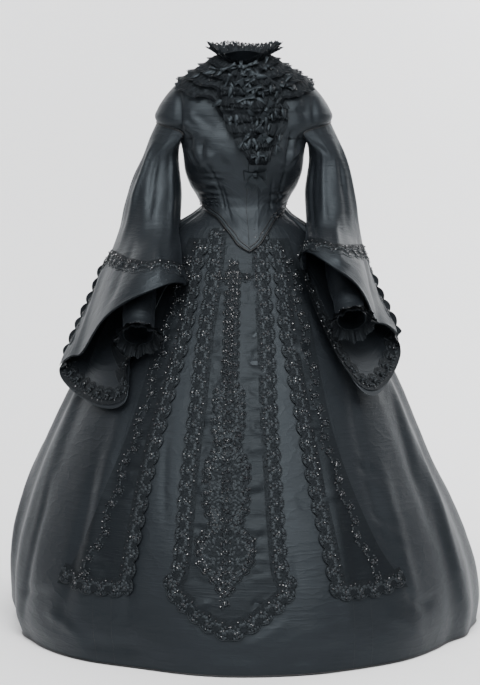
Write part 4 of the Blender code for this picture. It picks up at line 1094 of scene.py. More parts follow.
def bodice_pieces():
    """Fronts, side bodies and back, with darts, puckers and creases, and the cords on their edges."""
    gap = 0.0003 / 0.1
    share = np.linspace(0, 1, 70)
    for side, sign in (("left", 1), ("right", -1)):
        low = bodice_hem(BODICE_LINE + sign * share * (math.pi / 2 - sign * BODICE_LINE))
        levels = bodice_levels(low)
        edge = math.pi / 2 - armhole_reach(levels[:, -1:]) - gap
        turn = (BODICE_LINE + sign * gap) * (1 - share) + sign * edge * share
        order = slice(None, None, sign)
        made, flat, area = cloth_piece(f"silk_bodice_front_{side}", BODICE_SURFACE, turn[:, order],
                                       levels[:, order], SILK_CLOTH,
                                       stands_for=[f"bodice_front_{side}"])
        levels = np.concatenate([np.linspace(0.004, ARMPIT, 34), ARMPIT + (ARM_TOP - ARMPIT)
                                 * (1 - np.cos(np.linspace(0, math.pi / 2, 10)[1:])) / 2])[:, None]
        first = math.pi / 2 + armhole_reach(levels) + gap
        last = np.radians(through(SIDE_BACK_SEAM["height"], SIDE_BACK_SEAM["turn"], levels)) - gap
        turn = (first + (last - first) * np.linspace(0, 1, 24)[None])[:, order]
        made, flat, area = cloth_piece(f"silk_bodice_side_{side}", BODICE_SURFACE, sign * turn, levels,
                                       SILK_CLOTH, stands_for=[f"bodice_side_{side}"])
    levels = bodice_levels(np.array([0.004]))
    seam = np.radians(through(SIDE_BACK_SEAM["height"], SIDE_BACK_SEAM["turn"], levels)) + gap
    reach = math.pi / 2 + armhole_reach(levels) + gap
    first = np.where(levels < ARMPIT + (ARM_TOP - ARMPIT) * 0.52, np.maximum(seam, reach), reach)
    turn = first + (2 * math.pi - 2 * first) * np.linspace(0, 1, 90)[None]
    made, flat, area = cloth_piece("silk_bodice_back", BODICE_SURFACE, turn, levels, SILK_CLOTH,
                                   stands_for=["bodice_back"])

    turn = BODICE_LINE + np.linspace(-math.pi, math.pi, 321)[:-1]
    step = 0.02
    slope = (bodice_hem(turn + step) - bodice_hem(turn - step)) / (2 * step * 0.11)
    cords = []
    for below, radius in ((0.0020, 0.0018), (-0.0042, 0.0012)):
        level = bodice_hem(turn) - below * np.hypot(1, slope)
        cords.append(tube_part(BODICE_SURFACE.at(turn, level, 0.0006), radius, 8, closed=True))
    piece_of("cord_bodice_edge", joined(cords), CORD, stands_for=["bodice_piping"])
    cords = []
    around = np.linspace(0, 2 * math.pi, 121)[:-1]
    for sign in (1, -1):
        edge = armhole(around) * np.array([sign, 1, 1])
        edge = edge + np.array([sign * 0.0008, 0, 0.0])
        cords.append(tube_part(edge, 0.0020, 8, True, np.array([[1.0, 0, 0]])))
    piece_of("cord_armholes", joined(cords), CORD)


def wing_edge(around):
    """How far down the sleeve the wing's upper edge lies."""
    return through(WING_EDGE["around"], WING_EDGE["down"], np.degrees(around))


def scalloped_band(line, inside, outside, deep, pitch, raised, rim=0.0011, first=0.0, last=None):
    """A band of lace beside a line: its ground, from one offset to the other plus round scallops, and
    the cord on its scalloped edge. The ground rises a little in its middle."""
    last = line.length if last is None else last
    count = max(2, round((last - first) / pitch))
    gone = np.linspace(first, last, 12 * count + 1)
    tongue = np.abs(np.sin(math.pi * count * (gone - first) / (last - first))) ** 0.8
    edge = outside + math.copysign(1, outside - inside) * deep * tongue
    share = np.linspace(0, 1, 7)[:, None]
    offset = inside + (edge[None] - inside) * share
    lift = raised + 0.0007 * np.sin(math.pi * share) + 0.0004 * np.sin(gone[None] * 900)
    forward = (outside > inside) != line.surface.mirrored
    ground = sheet_part(line.at(np.broadcast_to(gone, offset.shape), offset, lift), flip=not forward)
    cord = tube_part(line.at(gone, edge, raised + rim * 0.8), rim, 5)
    return ground, cord, (first + (np.arange(count) + 0.5) * (last - first) / count)


# Where a scallop's beads lie: along it as a share of its pitch, and aside as a share of the lace's reach.
BEAD_SPOTS = ((0, 0), (0.10, 0.22), (-0.10, 0.18), (0.02, -0.42), (-0.30, -0.75), (0.28, -0.70), (0, 0.75))


def lace_work(line, middles, pitch, centre, reach, raised, seed, outward=1, rich=1.0):
    """Leaves and beads for each scallop: a rosette, scrolls at its foot and sprays to both its edges."""
    chance = np.random.default_rng(seed)
    flip = line.surface.mirrored
    leaves, beads = [], []
    size = reach / 0.016
    sway = chance.normal(0, 0.12, len(middles))
    big = leaf_part(0.0102 * size, 0.0068 * size, 0.0028)
    small = leaf_part(0.0076 * size, 0.0040 * size, 0.0018, 5, 3)
    for angle in np.radians((90, 38, 142, -18, 198)):
        seats = line.seats(middles, centre, raised)
        size = chance.uniform(0.85, 1.15, len(middles))
        leaves.append(repeated(big, seats, outward * angle + sway, size, flip))
    for shift, angle in ((-0.46, 60), (0.46, 120)):
        seats = line.seats(middles + shift * pitch, centre - outward * 0.55 * reach, raised)
        leaves.append(repeated(small, seats, outward * math.radians(angle) + sway, 1.25, flip))
    for shift, angle in ((-0.32, 58), (-0.12, 84), (0.10, 98), (0.30, 120)):
        seats = line.seats(middles + shift * pitch, centre + outward * 0.52 * reach, raised)
        leaves.append(repeated(small, seats, outward * math.radians(angle) + sway,
                               chance.uniform(0.9, 1.3, len(middles)), flip))
    for shift, angle in ((-0.30, 250), (-0.05, 272), (0.22, 290), (0.38, 330), (-0.42, 210)):
        seats = line.seats(middles + shift * pitch, centre - outward * 0.20 * reach, raised)
        leaves.append(repeated(small, seats, outward * math.radians(angle) + sway, 1.0, flip))
    bead = bead_part(0.0021)
    for shift, aside in BEAD_SPOTS:
        keep = chance.uniform(0, 1, len(middles)) < 0.8 * rich
        if not keep.any():
            continue
        jog = chance.normal(0, 0.0008, (2, keep.sum()))
        seats = line.seats(middles[keep] + shift * pitch + jog[0], centre + outward * aside * reach + jog[1],
                           raised + 0.0022)
        angle, size = chance.uniform(0, 6, keep.sum()), chance.uniform(0.7, 1.25, keep.sum())
        beads.append(repeated(bead, seats, angle, size))
    return leaves, beads


def sleeve_pieces():
    """Each sleeve's halves, its turned-back wing, and the lace and beads on wing and mouth."""
    down = np.linspace(0.0, 1.0, 84)[:, None] ** 1.05
    for number, side in enumerate(("left", "right")):
        surface = SLEEVES[side]
        for half, first in (("front", 0), ("back", math.pi)):
            around = first + np.linspace(0.002, math.pi - 0.002, 60)[None]
            made, flat, area = cloth_piece(f"silk_sleeve_{half}_{side}", surface, around,
                                           np.maximum(down, 0.0002), SILK_CLOTH,
                                           stands_for=[f"sleeve_{half}_{side}"])
        around = np.radians(np.linspace(-30, 180, 90))[None]
        top = wing_edge(around)
        down_wing = top + (0.998 - top) * np.linspace(0, 1, 30)[:, None]
        lift = 0.0045 * np.sin(math.pi * np.linspace(0, 1, 30)[:, None] ** 0.7)
        wing, flat, area = cloth_piece(f"silk_wing_{side}", surface, around, down_wing, SILK_CLOTH,
                                       raised=0.0030 + lift, stands_for=[f"sleeve_wing_{side}"])
        around = np.radians(np.linspace(-29, 178, 240))
        line = Line(surface, around, np.minimum(wing_edge(around) + 0.02, 0.985))
        ground, cord, middles = scalloped_band(line, -0.018, 0.014, 0.008, 0.036, 0.0056, rim=0.0015)
        leaves, beads = lace_work(line, middles, 0.036, 0.002, 0.017, 0.0066, 40 + number, rich=1.3)
        lace = piece_of(f"lace_wing_{side}", ground, LACE_CLOTH, stands_for=[f"wing_lace_{side}"])
        piece_of(f"work_wing_{side}", joined([cord, *leaves]), THREAD)
        piece_of(f"beads_wing_{side}", joined(beads), JET, smooth=False)

        around = np.radians(np.linspace(MOUTH_LACE_FROM[side], 342, 240))
        line = Line(surface, around, np.full(240, 0.965))
        ground, cord, middles = scalloped_band(line, 0.024, -0.012, 0.009, 0.036, -SILK - 0.0016, rim=0.0015)
        leaves, beads = lace_work(line, middles, 0.036, 0.002, 0.017, -SILK - 0.0030, 50 + number, outward=-1)
        lace = piece_of(f"lace_mouth_{side}", ground, LACE_CLOTH, stands_for=[f"mouth_lace_{side}"])
        piece_of(f"work_mouth_{side}", joined([cord, *leaves]), THREAD)
        piece_of(f"beads_mouth_{side}", joined(beads), JET, smooth=False)
        sleeve_edging(side)


def sleeve_edging(side):
    """The scalloped lace that stands out of a sleeve's outer seam, from above the wing to the long corner."""
    surface = SLEEVES[side]
    down = np.linspace(*EDGING_DOWN[side], 400)[None]
    around = np.radians(np.interp(down, EDGING_DOWN[side], EDGING_AROUND[side]))
    seam = surface.at(around, down, 0.0)[0]
    gone = along_line(seam)
    count = round(gone[-1] / 0.034)
    tongue = np.abs(np.sin(math.pi * count * gone / gone[-1])) ** 0.7
    fade = ease(gone / 0.05) * ease((gone[-1] - gone) / 0.02)
    reach = fade * (0.008 + 0.009 * tongue)
    share = np.linspace(0, 1, 6)[:, None]
    flutter = 0.002 * np.sin(gone * 95)[None] * share
    grid = surface.at(around + flutter / 0.1, np.broadcast_to(down, (6, 400)), 0.0006 + reach[None] * share)
    cord = tube_part(grid[-1], 0.0013, 5)
    lace = piece_of(f"lace_edging_{side}", sheet_part(grid), LACE_CLOTH)
    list(cut_of(grid))
    piece_of(f"cord_edging_{side}", cord, THREAD)


def frill_grid(edge, away, up, tall, lean, waves, wave_deep, scallop, rows=9):
    """A frill that stands from an edge: it leans out as it rises, in waves that grow towards its free edge,
    which is cut in scallops."""
    count = len(edge)
    turn = np.linspace(0, 2 * math.pi, count + 1)[:-1]
    share = np.linspace(0, 1, rows)[:, None]
    uneven = 1 + 0.35 * np.sin(3 * turn + 0.7) + 0.25 * np.sin(7 * turn)
    ripple = wave_deep * uneven * np.sin(waves * turn + 0.6 * np.sin(5 * turn)) * share**1.2
    fine = 0.25 * wave_deep * np.sin(3 * waves * turn) * share
    tongue = np.abs(np.sin(2 * waves * turn)) ** 0.7
    height = tall * share * (1 - scallop * (1 - tongue)) * (1 + 0.12 * np.sin(4 * turn))
    out = lean * share**1.3 + ripple + fine
    return edge[None] + height[..., None] * up + out[..., None] * away[None]


def inner_sleeves():
    """Each fitted inner sleeve and the lace frill at its wrist."""
    for side, mirrored in (("left", False), ("right", True)):
        surface = Surface(inner_sleeve(side), inner_folds, mirrored, (0.001, 0.999))
        around = np.linspace(0, 2 * math.pi, 49)[:-1][None]
        down = np.linspace(0, 1, 70)[:, None]
        made, flat, area = cloth_piece(f"silk_inner_sleeve_{side}", surface, around, down, SILK_CLOTH,
                                       closed=True, stands_for=[f"inner_sleeve_{side}"])
        turn = np.linspace(0, 2 * math.pi, 181)[:-1]
        edge = surface.at(turn, np.full(180, 0.985), 0.0012)
        middle = edge.mean(0)
        along = middle - surface.at(turn, np.full(180, 0.9), 0.0).mean(0)
        along /= np.linalg.norm(along)
        away = (edge - middle) / np.linalg.norm(edge - middle, axis=-1, keepdims=True)
        grids = [frill_grid(edge, away, along, 0.030, 0.015, 11, 0.0044, 0.14),
                 frill_grid(edge + 0.001 * away, away, along, 0.018, 0.017, 13, 0.0036, 0.14, 6)]
        parts = [sheet_part(grid, closed=True, flip=mirrored) for grid in grids]
        made = piece_of(f"lace_wrist_frill_{side}", joined(parts), OPEN_LACE,
                        stands_for=[f"wrist_frill_{side}"])
        (wide, tall), area = cut_of(grids[0], closed=True)
        (_, second_tall), second = cut_of(grids[1], closed=True)
        band = tube_part(surface.at(turn, np.full(180, 0.985), 0.0016), 0.0012, 6, closed=True)
        line = Line(surface, np.linspace(0, 2 * math.pi, 120), np.full(120, 0.97))
        places = np.arange(0.01, line.length - 0.01, 0.011)
        beads = repeated(bead_part(0.0013), line.seats(places, 0.0, 0.0024))
        piece_of(f"cord_wrist_{side}", band, CORD)
        piece_of(f"beads_wrist_{side}", beads, JET, smooth=False)


def front_half(height):
    """Half the front tab's width at a height."""
    return through(FRONT_TAB["height"], FRONT_TAB["half"], height)


TAB_LACE_PITCH = 0.0385
TAB_LACE_REACH = 0.020
STRIP_MIDDLE = -0.012
# The middle strip of lace widens into medallions below.
STRIP = table("height half", [
    (-0.875, 0.006), (-0.84, 0.030), (-0.80, 0.064), (-0.76, 0.066), (-0.72, 0.036), (-0.68, 0.050),
    (-0.60, 0.050), (-0.545, 0.028), (-0.50, 0.034), (-0.43, 0.032), (-0.41, 0.016), (-0.14, 0.013)])


def strip_half(height):
    """Half the middle strip's width at a height."""
    return through(STRIP["height"], STRIP["half"], height)


def tab_border(line, outward, inside, seed):
    """A tab's border of scalloped lace along its edge: ground, cord, leaves and beads."""
    ground, cord, middles = scalloped_band(line, outward * inside, outward * -0.003, 0.009, TAB_LACE_PITCH,
                                           0.0040, rim=0.0010)
    leaves, jets = lace_work(line, middles, TAB_LACE_PITCH, outward * 0.009, TAB_LACE_REACH, 0.0050, seed,
                             outward=-outward)
    return ground, [cord, *leaves], jets


def tab_puckers(middle, reach, heights, seed):
    """Short level puckers across a tab's cloth, uneven in length, depth and spacing: rows of creases."""
    chance = np.random.default_rng(seed)
    rows = []
    for height in heights:
        half = reach * chance.uniform(0.5, 1.1)
        start = middle(height) + chance.normal(0, 0.006)
        rise = chance.normal(0, 0.006)
        deep = chance.uniform(0.0014, 0.0034) * chance.choice((-1, 1))
        rows.append((start - half, height - rise, start + half, height + rise, chance.normal(0, 0.004),
                     chance.uniform(0.004, 0.008), deep))
    return table(CREASE, rows)


def side_tab_middle(height):
    """How far sideways the middle of a side tab lies at a height."""
    return through(SIDE_TAB["height"], (SIDE_TAB["inner"] + SIDE_TAB["outer"]) / 2, height)


def skirt_tabs():
    """Three tabs of silk bordered with scalloped lace, with lace and beads down their middles."""
    chance = np.random.default_rng(SEED)
    heights = np.sort(chance.uniform(-0.90, -0.16, 84))
    rows = [tab_puckers(lambda h, s=s: s * (0.5 * front_half(h) + 0.006), 0.030, heights[k::2], 60 + k)
            for k, s in enumerate((-1, 1))]
    puckers = {name: np.concatenate([rows[0][name], rows[1][name]]) for name in rows[0]}
    front = Surface(sideways_skirt, lambda x, y: creases(puckers, x, y))
    height = np.linspace(-0.962, -0.052, 150)[:, None]
    half = front_half(height)
    # The front tab takes the silk with painted shade.
    made, flat, area = cloth_piece("silk_tab_front", front, half * np.linspace(-1, 1, 52)[None], height,
                                   TAB_SILK_PAINTED_SHADE, raised=0.0030, stands_for=["tab_front"])
    side_height = np.linspace(-0.055, -0.850, 300)
    point_half = np.linspace(0.146, 0.0, 60)[1:]
    point_height = np.interp(point_half, (0, 0.060, 0.128, 0.146), (-0.965, -0.938, -0.886, -0.856))
    grounds, work, beads = [], [], []
    for sign in (-1, 1):
        across = sign * np.concatenate([front_half(side_height), point_half])
        up = np.concatenate([side_height, point_height])
        line = Line(TAB_SURFACE, across, up)
        outward = -sign
        ground, threads, jets = tab_border(line, outward, 0.032, 70 + sign)
        grounds.append(ground)
        work += threads
        beads += jets
    strip_height = np.linspace(-0.15, -0.870, 260)
    for sign in (-1, 1):
        line = Line(TAB_SURFACE, STRIP_MIDDLE + sign * strip_half(strip_height), strip_height)
        outward = -sign
        ground, cord, middles = scalloped_band(line, outward * 0.012, 0.0, 0.004, 0.026, 0.0040, rim=0.0009)
        leaves, jets = lace_work(line, middles, 0.026, outward * 0.005, 0.0115, 0.0050, 80 + sign,
                                 outward=-outward)
        grounds.append(ground)
        work += [cord, *leaves]
        beads += jets
    fill_height = np.linspace(-0.875, -0.14, 150)[:, None]
    fill_half = strip_half(fill_height) * np.linspace(-1, 1, 16)[None]
    grounds.append(sheet_part(TAB_SURFACE.at(STRIP_MIDDLE + fill_half, fill_height, 0.0038)))
    spots = chance.uniform(0, 1, (2, 330))
    spot_height = -0.87 + 0.46 * spots[0]
    spot_side = 0.9 * np.sqrt(spots[1]) * strip_half(spot_height)
    leaf_angle = chance.choice((0.9, 2.4, 4.0), 330)
    for sign in (-1, 1):
        across = STRIP_MIDDLE + sign * spot_side
        seats = seats_on(TAB_SURFACE, across, spot_height, 0.0046)
        angle = leaf_angle if sign > 0 else math.pi - leaf_angle
        work.append(repeated(leaf_part(0.0115, 0.0058, 0.0024, 5, 3), seats, angle, 1.0))
        some = tuple(v[::6] for v in seats_on(TAB_SURFACE, across, spot_height - 0.008, 0.0066))
        beads.append(repeated(bead_part(0.0016), some))
    line = Line(TAB_SURFACE, np.full(200, STRIP_MIDDLE), np.linspace(-0.12, -0.90, 200))
    middles = np.arange(0.02, line.length, 0.024)
    leaves, jets = lace_work(line, middles, 0.024, 0.0, 0.013, 0.0048, 90, rich=1.2)
    work += leaves
    beads += jets
    line = Line(TAB_SURFACE, np.linspace(-0.055, 0.055, 40), np.full(40, -0.168))
    ground, cord, middles = scalloped_band(line, 0.010, -0.010, 0.005, 0.022, 0.0042, rim=0.0009)
    leaves, jets = lace_work(line, middles, 0.022, 0.0, 0.010, 0.0050, 91)
    grounds.append(ground)
    work += [cord, *leaves]
    beads += jets
    lace = piece_of("lace_tab_front", joined(grounds), LACE_CLOTH)
    piece_of("work_tab_front", joined(work), THREAD)
    piece_of("beads_tab_front", joined(beads), JET, smooth=False)

    for number, (side, sign) in enumerate((("left", 1), ("right", -1))):
        height = np.linspace(-0.883, -0.078, 130)[:, None]
        inner, outer = (through(SIDE_TAB["height"], SIDE_TAB[name], height) for name in ("inner", "outer"))
        chance_heights = np.sort(np.random.default_rng(100 + number).uniform(-0.86, -0.20, 26))
        puckers = tab_puckers(lambda h, s=sign: s * side_tab_middle(h), 0.030, chance_heights, 110 + number)
        surface = Surface(sideways_skirt, lambda x, y, rows=puckers: creases(rows, x, y))
        share = np.linspace(0, 1, 32)[None]
        sideways = sign * (inner + (outer - inner) * share)[:, ::sign]
        # The side tabs take the silk with painted shade.
        made, flat, area = cloth_piece(f"silk_tab_{side}", surface, sideways, height, TAB_SILK_PAINTED_SHADE,
                                       raised=0.0030, stands_for=[f"tab_{side}"])
        side_height = np.linspace(-0.085, -0.868, 260)
        bottom = np.linspace(0, 1, 60)[1:]
        inner_edge = through(SIDE_TAB["height"], SIDE_TAB["inner"], side_height)
        across = sign * np.concatenate([inner_edge, 0.240 + (0.405 - 0.240) * bottom])
        up = np.concatenate([side_height, -0.880 - 0.012 * bottom + 0.030 * bottom**4])
        line = Line(TAB_SURFACE, across, up)
        outward = sign
        ground, work, beads = tab_border(line, outward, 0.030, 120 + number)
        column = through(SIDE_TAB["height"], SIDE_TAB["inner"] * 0.30 + SIDE_TAB["outer"] * 0.70, side_height)
        zigzag = 0.006 * np.sin(side_height * 60)
        line = Line(TAB_SURFACE, sign * (column + zigzag), side_height)
        middles = np.arange(0.06, line.length - 0.01, 0.036)
        leaves, jets = lace_work(line, middles, 0.036, 0.0, 0.013, 0.0048, 130 + number, rich=1.2)
        work += leaves
        beads = beads + jets
        lace = piece_of(f"lace_tab_{side}", ground, LACE_CLOTH)
        piece_of(f"work_tab_{side}", joined(work), THREAD)
        piece_of(f"beads_tab_{side}", joined(beads), JET, smooth=False)


def neck_frill():
    """The open lace frill that stands round the neck, in two layers."""
    turn = np.linspace(-math.pi, math.pi, 361)[:-1]
    edge = bodice(turn, NECK_EDGE) + np.array([0, 0, -0.0024])
    away = level_away(edge)
    up = np.array([0, 0, 1.0])
    side = 0.40 + 0.60 * np.abs(np.sin(turn)) ** 1.5 + 0.25 * (np.cos(turn) < 0) * np.cos(turn) ** 2
    grids = []
    for tall, lean, waves, deep, rows in ((0.036, 0.024, 15, 0.0070, 9), (0.024, 0.028, 19, 0.0056, 7)):
        grid = frill_grid(edge, away, up, tall, lean, waves, deep, 0.16, rows)
        grids.append(edge + (grid - edge) * side[None, :, None])
    parts = [sheet_part(grid, closed=True) for grid in grids]
    made = piece_of("lace_neck_frill", joined(parts), OPEN_LACE, stands_for=["neck_frill"])
    (wide, tall), area = cut_of(grids[0], closed=True)
    (_, low), second = cut_of(grids[1], closed=True)
    tall = tall + low


JABOT_TIERS = 4
JABOT_TOP = 0.352
JABOT_TALL = 0.250
JABOT_STOPS = (0, 0.35, 0.75, 1)
JABOT_TURN = (0.37, 0.29, 0.25, 0.12)
JABOT_LEAN = (0.0, 0.035, 0.10, 0.13)
END_BOW_LEVEL = 0.080
# The cascade's frills: where each starts down it, how tall it is and its waves across.
CASCADE_FRILLS = np.array([
    (0.02, 0.032, 8), (0.15, 0.032, 8), (0.29, 0.034, 7), (0.43, 0.034, 7), (0.57, 0.032, 6),
    (0.71, 0.030, 5), (0.85, 0.028, 4)]).T


def level_away(points):
    """The level way from the middle of the body to each point, 1 long."""
    away = points * np.array([1, 1, 0])
    return away / np.linalg.norm(away, axis=-1, keepdims=True)


def collar_low(turn):
    """Level of the collar's lower edge at a turn."""
    side = np.degrees(np.abs(wrapped(turn - BODICE_LINE)))
    return through(COLLAR_EDGE["turn"], COLLAR_EDGE["level"], side)


def jabot(across, down):
    """The cascade of lace down the front: tiers that stand out at their lower edges, rippled across."""
    across, down = np.broadcast_arrays(np.asarray(across, float), np.asarray(down, float))
    level = JABOT_TOP - JABOT_TALL * down
    lean = through(JABOT_STOPS, JABOT_LEAN, down)
    turn = BODICE_LINE + lean + across * through(JABOT_STOPS, JABOT_TURN, down)
    place = JABOT_TIERS * np.clip(down, 0, 1)
    tier = np.clip((place % 1) / 0.8, 0, 1) * (1 - ease(((place % 1) - 0.8) / 0.2))
    ripple = 0.0022 * np.sin(9 * across + 2.4 * np.floor(place)) * tier
    points = bodice(turn, level)
    away = level_away(points)
    return points + (0.0076 + 0.010 * tier + ripple)[..., None] * away


def collar_and_cascade():
    """The lace collar and cascade: their ground, rows of small frills, and ribbon leaves and loops."""
    chance = np.random.default_rng(SEED + 5)
    turn = np.linspace(-math.pi, math.pi, 205)[:-1][None]
    lowest = collar_low(turn) - 0.006 * np.abs(np.sin(7.5 * turn))
    share = np.linspace(0, 1, 21)[:, None]
    levels = lowest + (NECK_EDGE - 0.003 - lowest) * share
    quilt = 0.0012 * np.sin(55 * turn + 3 * share) * np.sin(22 * share)
    collar, flat, area = cloth_piece("lace_collar_ground", BODICE_SURFACE, turn, levels, LACE_CLOTH,
                                     thick=LACE, raised=0.0042 + quilt, closed=True,
                                     stands_for=["lace_collar"])
    grids = []
    for share_at, tall, waves in ((0.02, 0.014, 46), (0.30, 0.015, 42), (0.55, 0.014, 36), (0.78, 0.013, 30)):
        turns = np.linspace(-math.pi, math.pi, 721)[:-1]
        low = np.interp(turns, turn[0], lowest[0], period=2 * math.pi)
        level = low + (NECK_EDGE - low) * share_at
        edge = BODICE_SURFACE.at(turns, level + 0.006, 0.0042)
        outer = BODICE_SURFACE.at(turns, level, 0.0080) - edge
        length = np.linalg.norm(outer, axis=-1, keepdims=True)
        outer = outer / length
        square = BODICE_SURFACE.at(turns, level + 0.006, 0.0142) - edge
        square /= np.linalg.norm(square, axis=-1, keepdims=True)
        rows = np.linspace(0, 1, 5)[:, None, None]
        wave = np.sin(waves * turns + 1.3 * np.sin(6 * turns))[None, :, None]
        stand = 0.0016 + 0.0030 * bump(wrapped(turns - BODICE_LINE), 0.7)[None, :, None]
        grid = edge + tall * rows * outer * (1 + 0.10 * wave) + (stand * rows * (1.1 + wave)) * square
        grids.append(grid)
    parts = [sheet_part(grid, closed=True, flip=True) for grid in grids]
    made = piece_of("lace_collar_frills", joined(parts), OPEN_LACE)
    flats = [cut_of(grid, closed=True) for grid in grids]
    wide, tall = sum(flat[0] for flat, _ in flats), max(flat[1] for flat, _ in flats)

    across = np.linspace(-1, 1, 56)[None]
    down = np.linspace(1.0, 0.0, 80)[:, None]
    ground = jabot(across, down)
    away = level_away(ground)
    flutter = 0.0014 * np.sin(34 * across + 11 * down)
    ground = ground + flutter[..., None] * away
    part = shell_part(ground, ground - LACE * away)
    made = piece_of("lace_jabot", part, LACE_CLOTH, stands_for=["jabot"])
    flat, area = cut_of(ground)

    grids = []
    for stop, tall, waves in CASCADE_FRILLS.T:
        spot = np.linspace(-1, 1, 200)
        rows = np.linspace(0, 1, 8)[:, None]
        wave = np.sin(math.pi * waves * spot + 20 * stop + 0.9 * np.sin(5 * spot + stop))
        tongue = np.abs(np.sin(2.5 * math.pi * waves * spot)) ** 0.7
        slant = 0.045 * math.sin(23 * stop) * spot + 0.012 * np.sin(4 * spot + 9 * stop)
        place = stop + slant + tall / JABOT_TALL * rows * (0.82 + 0.18 * tongue)
        frill = jabot(spot, np.clip(place, 0.0, 0.995))
        away = level_away(frill)
        grids.append(frill + (0.0018 + (0.003 + 0.0042 * (1 + wave)) * rows)[..., None] * away)
    parts = [sheet_part(grid, flip=True) for grid in grids]
    made = piece_of("lace_cascade_frills", joined(parts), OPEN_LACE)
    area = sum(cut_of(grid)[1] for grid in grids)
    tall = CASCADE_FRILLS[1].mean()
    area / (0.95 * tall)

    leaf = leaf_part(0.030, 0.014, 0.0044, 8, 5, curl=0.006)
    loop = loop_part(0.026, 0.014, 0.012)
    counts = 34, 44
    turns = BODICE_LINE + chance.normal(0, 0.36, counts[0])
    low = collar_low(turns)
    level = low + 0.006 + (0.360 - low) * chance.uniform(0, 1, counts[0])
    collar_line = seats_on(BODICE_SURFACE, turns, level, 0.0062)
    across, down = chance.uniform(-0.90, 0.90, counts[1]), chance.uniform(0.02, 0.92, counts[1])
    cascade = cascade_seats(across, down, 0.0088)
    satin = []
    for seat, count in ((collar_line, counts[0]), (cascade, counts[1])):
        angle = chance.normal(-math.pi / 2, 0.6, count)
        size = chance.uniform(0.6, 1.1, count)
        satin.append(repeated(leaf, seat, angle, size))
        pick = slice(None, None, 4)
        some = tuple(v[pick] for v in seat)
        satin.append(repeated(loop, some, angle[pick] + 1.9, size[pick]))
        satin.append(repeated(loop, some, angle[pick] + 1.9 + math.pi, size[pick]))
    piece_of("ribbon_leaves", joined(satin), SATIN)
    turns = BODICE_LINE + chance.uniform(-0.9, 0.9, 30)
    low = collar_low(turns)
    level = low + 0.01 + (0.35 - low) * chance.uniform(0, 1, 30)
    jets = [repeated(bead_part(0.0016), seats_on(BODICE_SURFACE, turns, level, 0.0085))]
    piece_of("beads_collar", joined(jets), JET, smooth=False)


def seats_on(surface, across, up, raised):
    """Seats on a surface: points with the ways across, up and out."""
    here = surface.at(across, up, raised)
    ahead = surface.at(across + 0.002, up, raised) - here
    rise = surface.at(across, up + 0.002, raised) - here
    return squared(here, ahead, rise)


def cascade_seats(across, down, raised):
    """Seats on the cascade: points with the ways across, up and out."""
    here = jabot(across, down)
    away = level_away(here)
    up = np.broadcast_to(np.array([0, 0, 1.0]), here.shape)
    ahead = np.cross(up, away)
    return here + raised * away, ahead, up, away


def squared(here, ahead, rise):
    """Seats whose three ways are square to each other."""
    ahead = ahead / np.linalg.norm(ahead, axis=-1, keepdims=True)
    out = np.cross(ahead, rise)
    out /= np.linalg.norm(out, axis=-1, keepdims=True)
    return here, ahead, np.cross(out, ahead), out


def band_part(line, across, half, thick, notch=0.0):
    """A ribbon along a line of points: half its width each side, with a notch at its end."""
    v = np.linspace(-1, 1, 7)
    ahead = np.gradient(line, axis=0)
    ahead /= np.linalg.norm(ahead, axis=-1, keepdims=True)
    half = np.broadcast_to(half, len(line))
    grid = line[None] + (v[:, None] * half[None])[..., None] * across
    share = np.linspace(0, 1, len(line)) ** 6
    grid = grid - (notch * (1 - np.abs(v))[:, None] * share[None])[..., None] * ahead[None]
    square = np.cross(ahead, np.broadcast_to(across, ahead.shape))
    square /= np.linalg.norm(square, axis=-1, keepdims=True)
    return shell_part(grid, grid - thick * square[None])


def bow_part(middle, along, away, length, width, puff, tail, droop):
    """A ribbon bow: two loops that rise and come back, a knot over their middle, and two notched tails."""
    along, away = along / np.linalg.norm(along), away / np.linalg.norm(away)
    across = np.cross(along, away)
    parts = []
    turn = np.linspace(0, 2 * math.pi, 49)
    reach = length / 2 * np.sign(np.cos(turn)) * np.abs(np.cos(turn)) ** 0.8
    rise = 0.001 + puff * (1 + np.sin(turn)) / 2 * (0.28 + 0.72 * np.cos(turn) ** 2)
    line = middle + reach[:, None] * along + rise[:, None] * away
    parts.append(band_part(line, across, width / 2 * (0.35 + 0.65 * np.cos(turn) ** 2), 0.0004))
    knot = np.linspace(0, 2 * math.pi, 25)
    ring = middle + 0.35 * puff * away + (0.30 * width * np.cos(knot))[:, None] * across
    ring = ring + (0.45 * puff * np.sin(knot) + 0.1 * puff)[:, None] * away
    parts.append(band_part(ring, along, 0.0045, 0.0004))
    for sign in (-1, 1):
        share = np.linspace(0, 1, 16)
        way = 0.55 * sign * along + droop
        way = way / np.linalg.norm(way)
        lift = 0.35 * puff + 0.003 * np.sin(5 * share) - 0.25 * puff * share
        line = middle + (share * tail)[:, None] * way + lift[:, None] * away
        aside = np.cross(way, away)
        parts.append(band_part(line, aside, width * 0.42 * (0.5 + 0.5 * ease(share * 3)), 0.0004, 0.005))
    return joined(parts)


BOWS = table(
    "tier across tilt length lift",
    [(1, -0.25, 62, 0.050, 0.0016), (2, 0.15, -58, 0.054, 0.0012), (3, 0.10, 48, 0.050, 0.0039)],
)


